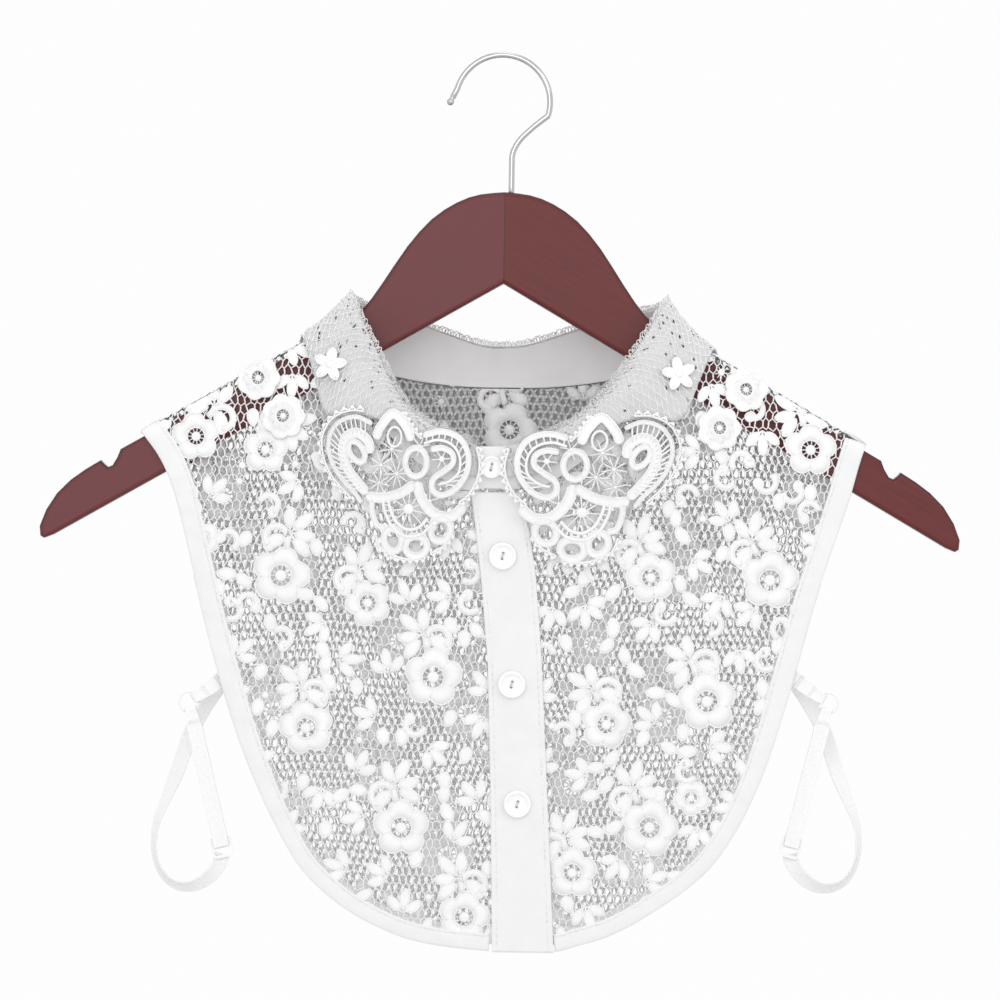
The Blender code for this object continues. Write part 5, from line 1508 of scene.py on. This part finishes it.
for name, (x, z) in TRIM_STARS.items():
    bodies = []
    for k in range(STAR_LEAVES):
        turn = 90.0 + 360.0 / STAR_LEAVES * k + x / 8.0
        angle = math.radians(turn)
        leaf = oval(*ray(x, z, angle, [4.3])[0], 3.9, 2.3, turn, 18, 0.3)
        bodies.append(patch(leaf, 0.1, 0.9, 1.35))
        bodies.append(strip(leaf, round_profile(0.75, 1.35), closed=True))
        bodies.append(strip(ray(x, z, angle, (1.0, 4.0, 7.2)), round_profile(0.55, 1.7)))
    bodies.append(patch(oval(x, z, 1.7, 1.7, 0.0, 14), 0.1, 1.3, 2.0))
    points, faces = joined(bodies)
    piece("trim_" + name[9:], on_collar(points), faces, [guipure], [name])

# The buttons: pearly plastic, turned with a raised rim, and sewn on through two holes. Three
# of shirt size are on the band, and a smaller one is on the end of the stand.
BUTTON_THICKNESS = 2.6
BUTTON_HOLE_RADIUS = 0.62
BUTTON_HOLE_SPACING = 2.7
BUTTON_TURN = 78.0
BUTTON_SIDES = 64
HOLE_SIDES = 20
BUTTON_PROFILE = [
    # share of the radius, share of the thickness
    (0.80, 0.0), (0.93, 0.1), (1.0, 0.35), (1.0, 0.7), (0.97, 0.9), (0.91, 1.0), (0.83, 0.97), (0.76, 0.84),
    (0.70, 0.72), (0.62, 0.66), (0.3, 0.64),
]
BUTTONS = {
    # across, height, radius
    "button_1": (1.6, -238.2, 6.5),
    "button_2": (6.8, -299.1, 6.5),
    "button_3": (10.3, -356.0, 6.5),
    "button_4": (-4.4, -196.8, 5.3),
}
pearl = mottled("pearly_button", (0.92, 0.92, 0.917), 0.26,
                {"Scale": 260.0, "Detail": 3.0, "Distortion": 1.5},
                [(0.35, (0.89, 0.89, 0.88)), (0.6, (0.93, 0.93, 0.926))],
                0.02, 0.3, {"Coat Weight": 0.4, "Coat Roughness": 0.1})


def frame_at(place, out):
    """A matrix whose Z points out of the cloth, in millimetres."""
    out = Vector(out).normalized()
    right = Vector((0.0, 0.0, 1.0)).cross(out).normalized()
    turned = Matrix((right, out.cross(right), out)).transposed().to_4x4()
    return Matrix.Translation(Vector(place)) @ turned


def bored(name, points, faces, holes, depth):
    """A body's points and faces after round holes are cut through it along its Z."""
    solid = bpy.data.meshes.new(name)
    solid.from_pydata(points, [], faces)
    drill_points, drill_faces = [], []
    for hx, radius in holes:
        base = len(drill_points)
        ring = [(hx + radius * math.cos(a), radius * math.sin(a)) for a in angles_round(HOLE_SIDES)]
        drill_points += [(a, b, -depth) for a, b in ring] + [(a, b, depth) for a, b in ring]
        drill_faces += [[i + base for i in face] for face in tube_faces(2, HOLE_SIDES)]
    drill = bpy.data.meshes.new(name + "_drill")
    drill.from_pydata(drill_points, [], drill_faces)
    whole, cutter = bpy.data.objects.new(name, solid), bpy.data.objects.new(name + "_drill", drill)
    for thing in (whole, cutter):
        scene.collection.objects.link(thing)
        bm = bmesh.new()
        bm.from_mesh(thing.data)
        bmesh.ops.recalc_face_normals(bm, faces=bm.faces)
        bm.to_mesh(thing.data)
        bm.free()
    cut = whole.modifiers.new("holes", "BOOLEAN")
    cut.object = cutter
    cut.solver = "EXACT"
    done = whole.evaluated_get(bpy.context.evaluated_depsgraph_get()).data
    result = ([tuple(v.co) for v in done.vertices], [list(p.vertices) for p in done.polygons])
    bpy.data.objects.remove(whole)
    bpy.data.objects.remove(cutter)
    return result


def turned_button(size):
    """A button without its holes, as it comes off the lathe."""
    points = []
    for share, height in BUTTON_PROFILE:
        points += [(size * share * math.cos(a), size * share * math.sin(a), height * BUTTON_THICKNESS)
                   for a in angles_round(BUTTON_SIDES)]
    return points, tube_faces(len(BUTTON_PROFILE), BUTTON_SIDES)


for name, (x, z, size) in BUTTONS.items():
    reach = BUTTON_HOLE_SPACING / 2
    holes = [(-reach, BUTTON_HOLE_RADIUS), (reach, BUTTON_HOLE_RADIUS)]
    points, faces = bored(name, *turned_button(size), holes, 6.0)
    if name == "button_4":
        place, out = (x, COLLAR[0][2] - COTTON_WALL - GAP, z), (0.0, -1.0, 0.0)
    else:
        place = on_front([x], [z], [LACE_WALL + GAP + COTTON_WALL + GAP])[0]
        out = on_front([x], [z], [LACE_WALL + GAP + COTTON_WALL + GAP + 1.0])[0] - place
    thread = []
    for shift in (-0.2, 0.2):
        line = [(a * reach, 0.0) for a in (-1.0, -0.75, 0.0, 0.75, 1.0)]
        made, sides = strip(line, [(-0.17, 0.0), (0.0, 0.28), (0.17, 0.0)])
        made[:, 1] += shift
        bent = np.abs(made[:, 0]) / reach
        rise = BUTTON_PROFILE[-1][1] * BUTTON_THICKNESS + 0.16 * (1.0 - bent ** 6) - 0.5 * (bent > 0.95)
        thread.append((np.column_stack([made[:, :2], made[:, 2] + rise]), sides))
    thread_points, thread_faces = joined(thread)
    all_points, all_faces = joined([(points, faces), (thread_points, thread_faces)])
    turn = Matrix.Rotation(math.radians(BUTTON_TURN), 4, "Z")
    placed = [frame_at(place, out) @ turn @ Vector(p) for p in all_points]
    marks = [0] * len(faces) + [1] * len(thread_faces)
    piece("sewn_" + name, placed, all_faces, [pearl, sewing_thread], [name], marks)

# The side straps: narrow ribbed webbing. A tab is sewn into the binding and holds a ring, the
# strap hangs from the ring to its slider, and a loop runs from the slider back to the tab.
LEFT_SIDE_SUM = 11.0
LEFT_SIDE_RAISE = 4.0
WEBBING_WIDTH = 7.2
WEBBING_AT_RING = 5.0
WEBBING_WALL = 0.8
WEBBING_RIB = 0.42
RING_CENTRE = np.array((-147.4, -8.5, -311.0))
RING_RADIUS = 4.8
RING_WIRE = 1.1
RING_STEPS = 64
RING_SIDES = 14
ROOM_PAST_RING = 2.8
TAB_SEWN_END = (-124.5, -8.9, -294.6)
SLIDER_CENTRE = (-130.6, -8.8, -380.0)
SLIDER_WALL = 1.3
SLIDER_SOFT_EDGE = 0.28
TACK_PITCH = 0.62
BAR_TACKS = {
    # distance from the middle of the ring, and length, of each bar tack
    "tab": [(8.6, 5.4), (9.7, 6.2), (16.6, 7.0), (17.8, 7.0)],
    "strap": [(8.8, 5.8), (9.9, 6.4)],
    "loop": [],
}
WEBBING_SECTION = [
    # share of half the width, share of the wall
    (-1.0, -0.28), (-0.9, -0.42), (-0.78, -0.34), (0.0, -0.38), (0.78, -0.34), (0.9, -0.42), (1.0, -0.28),
    (1.0, 0.28), (0.9, 0.42), (0.78, 0.34), (0.0, 0.38), (-0.78, 0.34), (-0.9, 0.42), (-1.0, 0.28),
]
SIDE_LOOP = [
    # x, y, z, turn of the webbing's width away from the picture's plane in degrees
    (-130.2, -7.2, -383.5, 0.0),
    (-131.6, -7.2, -388.0, 10.0),
    (-136.2, -6.2, -394.4, 26.0),
    (-143.0, -4.6, -398.9, 40.0),
    (-150.6, -2.0, -399.8, 52.0),
    (-157.6, 0.6, -396.4, 60.0),
    (-162.4, 3.2, -389.0, 66.0),
    (-164.0, 5.2, -379.0, 66.0),
    (-162.6, 7.0, -368.5, 60.0),
    (-158.9, 8.2, -359.0, 48.0),
    (-154.8, 9.2, -348.8, 30.0),
    (-151.0, 9.6, -338.0, 12.0),
    (-147.0, 9.2, -326.0, 0.0),
    (-140.6, 9.0, -314.0, 0.0),
    (-133.5, 9.0, -303.4, 0.0),
    (-126.0, 9.6, -295.0, 0.0),
]
webbing = mottled("ribbed_webbing", (0.90, 0.90, 0.905), 0.5, {"Scale": 1900.0, "Detail": 2.0},
                  [(0.3, (0.83, 0.83, 0.84)), (0.62, (0.91, 0.91, 0.915))], 0.06, 0.6, {"Sheen Weight": 0.2})
moulded = mottled("moulded_plastic", (0.86, 0.86, 0.86), 0.3, {"Scale": 300.0, "Detail": 2.0},
                  [(0.3, (0.84, 0.84, 0.84)), (0.7, (0.87, 0.87, 0.87))], 0.02, 0.3)


def mirrored(points):
    """The same points on the other side, where the webbing hangs a little higher."""
    return np.array([(LEFT_SIDE_SUM - p[0], p[1], p[2] + LEFT_SIDE_RAISE) for p in points])


def tape(path, widths, ways):
    """Ribbed webbing along a path: its points and faces, with selvedges and cross ribs."""
    rows = np.column_stack([path, widths, ways])
    length = np.linalg.norm(np.diff(rows[:, :3], axis=0), axis=1).sum()
    rows = resample(rows, int(length / WEBBING_RIB * 2))
    path, widths, ways = rows[:, :3], rows[:, 3], rows[:, 4:]
    tangent = unit(np.gradient(path, axis=0))
    ways = unit(ways - tangent * (ways * tangent).sum(axis=1)[:, None])
    thick = np.cross(tangent, ways)
    rib = 0.5 + 0.5 * np.cos(np.arange(len(path)) * math.pi)
    rings = []
    for across, out in WEBBING_SECTION:
        depth = out * WEBBING_WALL * 1.1 * (1.0 - 0.3 * rib * (abs(across) < 0.85))
        edge = across * (1.0 + 0.03 * rib * (abs(across) == 1.0))
        rings.append(path + ways * (widths / 2 * edge)[:, None] + thick * np.reshape(depth, (-1, 1)))
    return np.stack(rings, axis=1).reshape(-1, 3), tube_faces(len(path), len(WEBBING_SECTION))


def hairpin(far, closed_gap):
    """The line of webbing doubled round the ring's wire: from a far end, round it and back."""
    length = np.linalg.norm(np.array(far) - RING_CENTRE)
    away = unit(np.array(far) - RING_CENTRE)
    ahead = np.array([0.0, -1.0, 0.0])
    ahead = unit(ahead - away * np.dot(ahead, away))
    across = np.cross(away, ahead)
    clear = RING_WIRE / 2 + GAP + WEBBING_WALL / 2
    apart = closed_gap / 2 + WEBBING_WALL / 2
    inner_turn = ROOM_PAST_RING - WEBBING_WALL / 2
    layer = [(length, apart), (length * 0.7, apart), (12.0, apart), (8.5, apart + 0.1), (6.2, clear),
             (4.0, clear)]
    turn = [(inner_turn + clear * (1 - math.cos(a)), clear * math.sin(a))
            for a in np.radians([75, 50, 25, 0, -25, -50, -75])]
    path, widths = [], []
    for along, off in layer + turn + [(a, -b) for a, b in reversed(layer)]:
        path.append(RING_CENTRE + away * along + ahead * off)
        near = min(max((along - 4.0) / 8.0, 0.0), 1.0)
        widths.append(WEBBING_AT_RING + (WEBBING_WIDTH - WEBBING_AT_RING) * near)
    return np.array(path), np.array(widths), np.tile(across, (len(path), 1)), away, ahead, across, apart


loop_line = resample(through(SIDE_LOOP, 4), 90)
loop_tangent = np.gradient(loop_line[:, :3], axis=0)
flat_way = unit(np.cross(loop_tangent, (0.0, 1.0, 0.0)))
lean = np.radians(loop_line[:, 3])[:, None]
loop_ways = flat_way * np.cos(lean) + np.array([0.0, 1.0, 0.0]) * np.sin(lean)
tab_parts = hairpin(TAB_SEWN_END, GAP)
strap_parts = hairpin(SLIDER_CENTRE, SLIDER_WALL + 2 * GAP)
ring_points = []
for turn in angles_round(RING_STEPS):
    way = np.array([math.cos(turn), 0.0, math.sin(turn)])
    for a in angles_round(RING_SIDES):
        ring_points.append(RING_CENTRE + way * (RING_RADIUS + RING_WIRE / 2 * math.cos(a))
                           + np.array([0.0, RING_WIRE / 2 * math.sin(a), 0.0]))
for side_name, turned in (("right", False), ("left", True)):
    made = {"tab": tape(*tab_parts[:3]), "strap": tape(*strap_parts[:3]),
            "loop": tape(loop_line[:, :3], np.full(len(loop_line), WEBBING_WIDTH), loop_ways)}
    for part, (points, faces) in made.items():
        bodies = [(points, faces)]
        for along, wide in BAR_TACKS[part]:
            away, ahead, across, apart = (tab_parts if part == "tab" else strap_parts)[3:]
            for k in range(int(wide / TACK_PITCH)):
                spot = RING_CENTRE + away * along + ahead * (apart + 0.38)
                spot = spot + across * (k * TACK_PITCH - wide / 2 + 0.2)
                line = np.array([np.concatenate([spot + away * s, ahead]) for s in (-0.5, 0.0, 0.5, 0.9)])
                bodies.append(stitches(line, 0.85, 2.0, 0.36))
        points, faces = joined(bodies)
        points = mirrored(points) if turned else points
        piece("webbing_%s_%s" % (part, side_name), points, faces, [webbing],
                                ["%s_%s" % (part, side_name)])
    points = mirrored(ring_points) if turned else ring_points
    piece("strap_ring_" + side_name, points, tube_faces(RING_STEPS, RING_SIDES, True),
                            [moulded], ["ring_" + side_name])
    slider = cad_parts["slider_" + side_name]
    slider.data.materials.clear()
    slider.data.materials.append(moulded)
    soft_edge = slider.modifiers.new("moulded_edge", "BEVEL")
    soft_edge.width = SLIDER_SOFT_EDGE * MM
    soft_edge.segments = 3
    soft_edge.limit_method = "ANGLE"
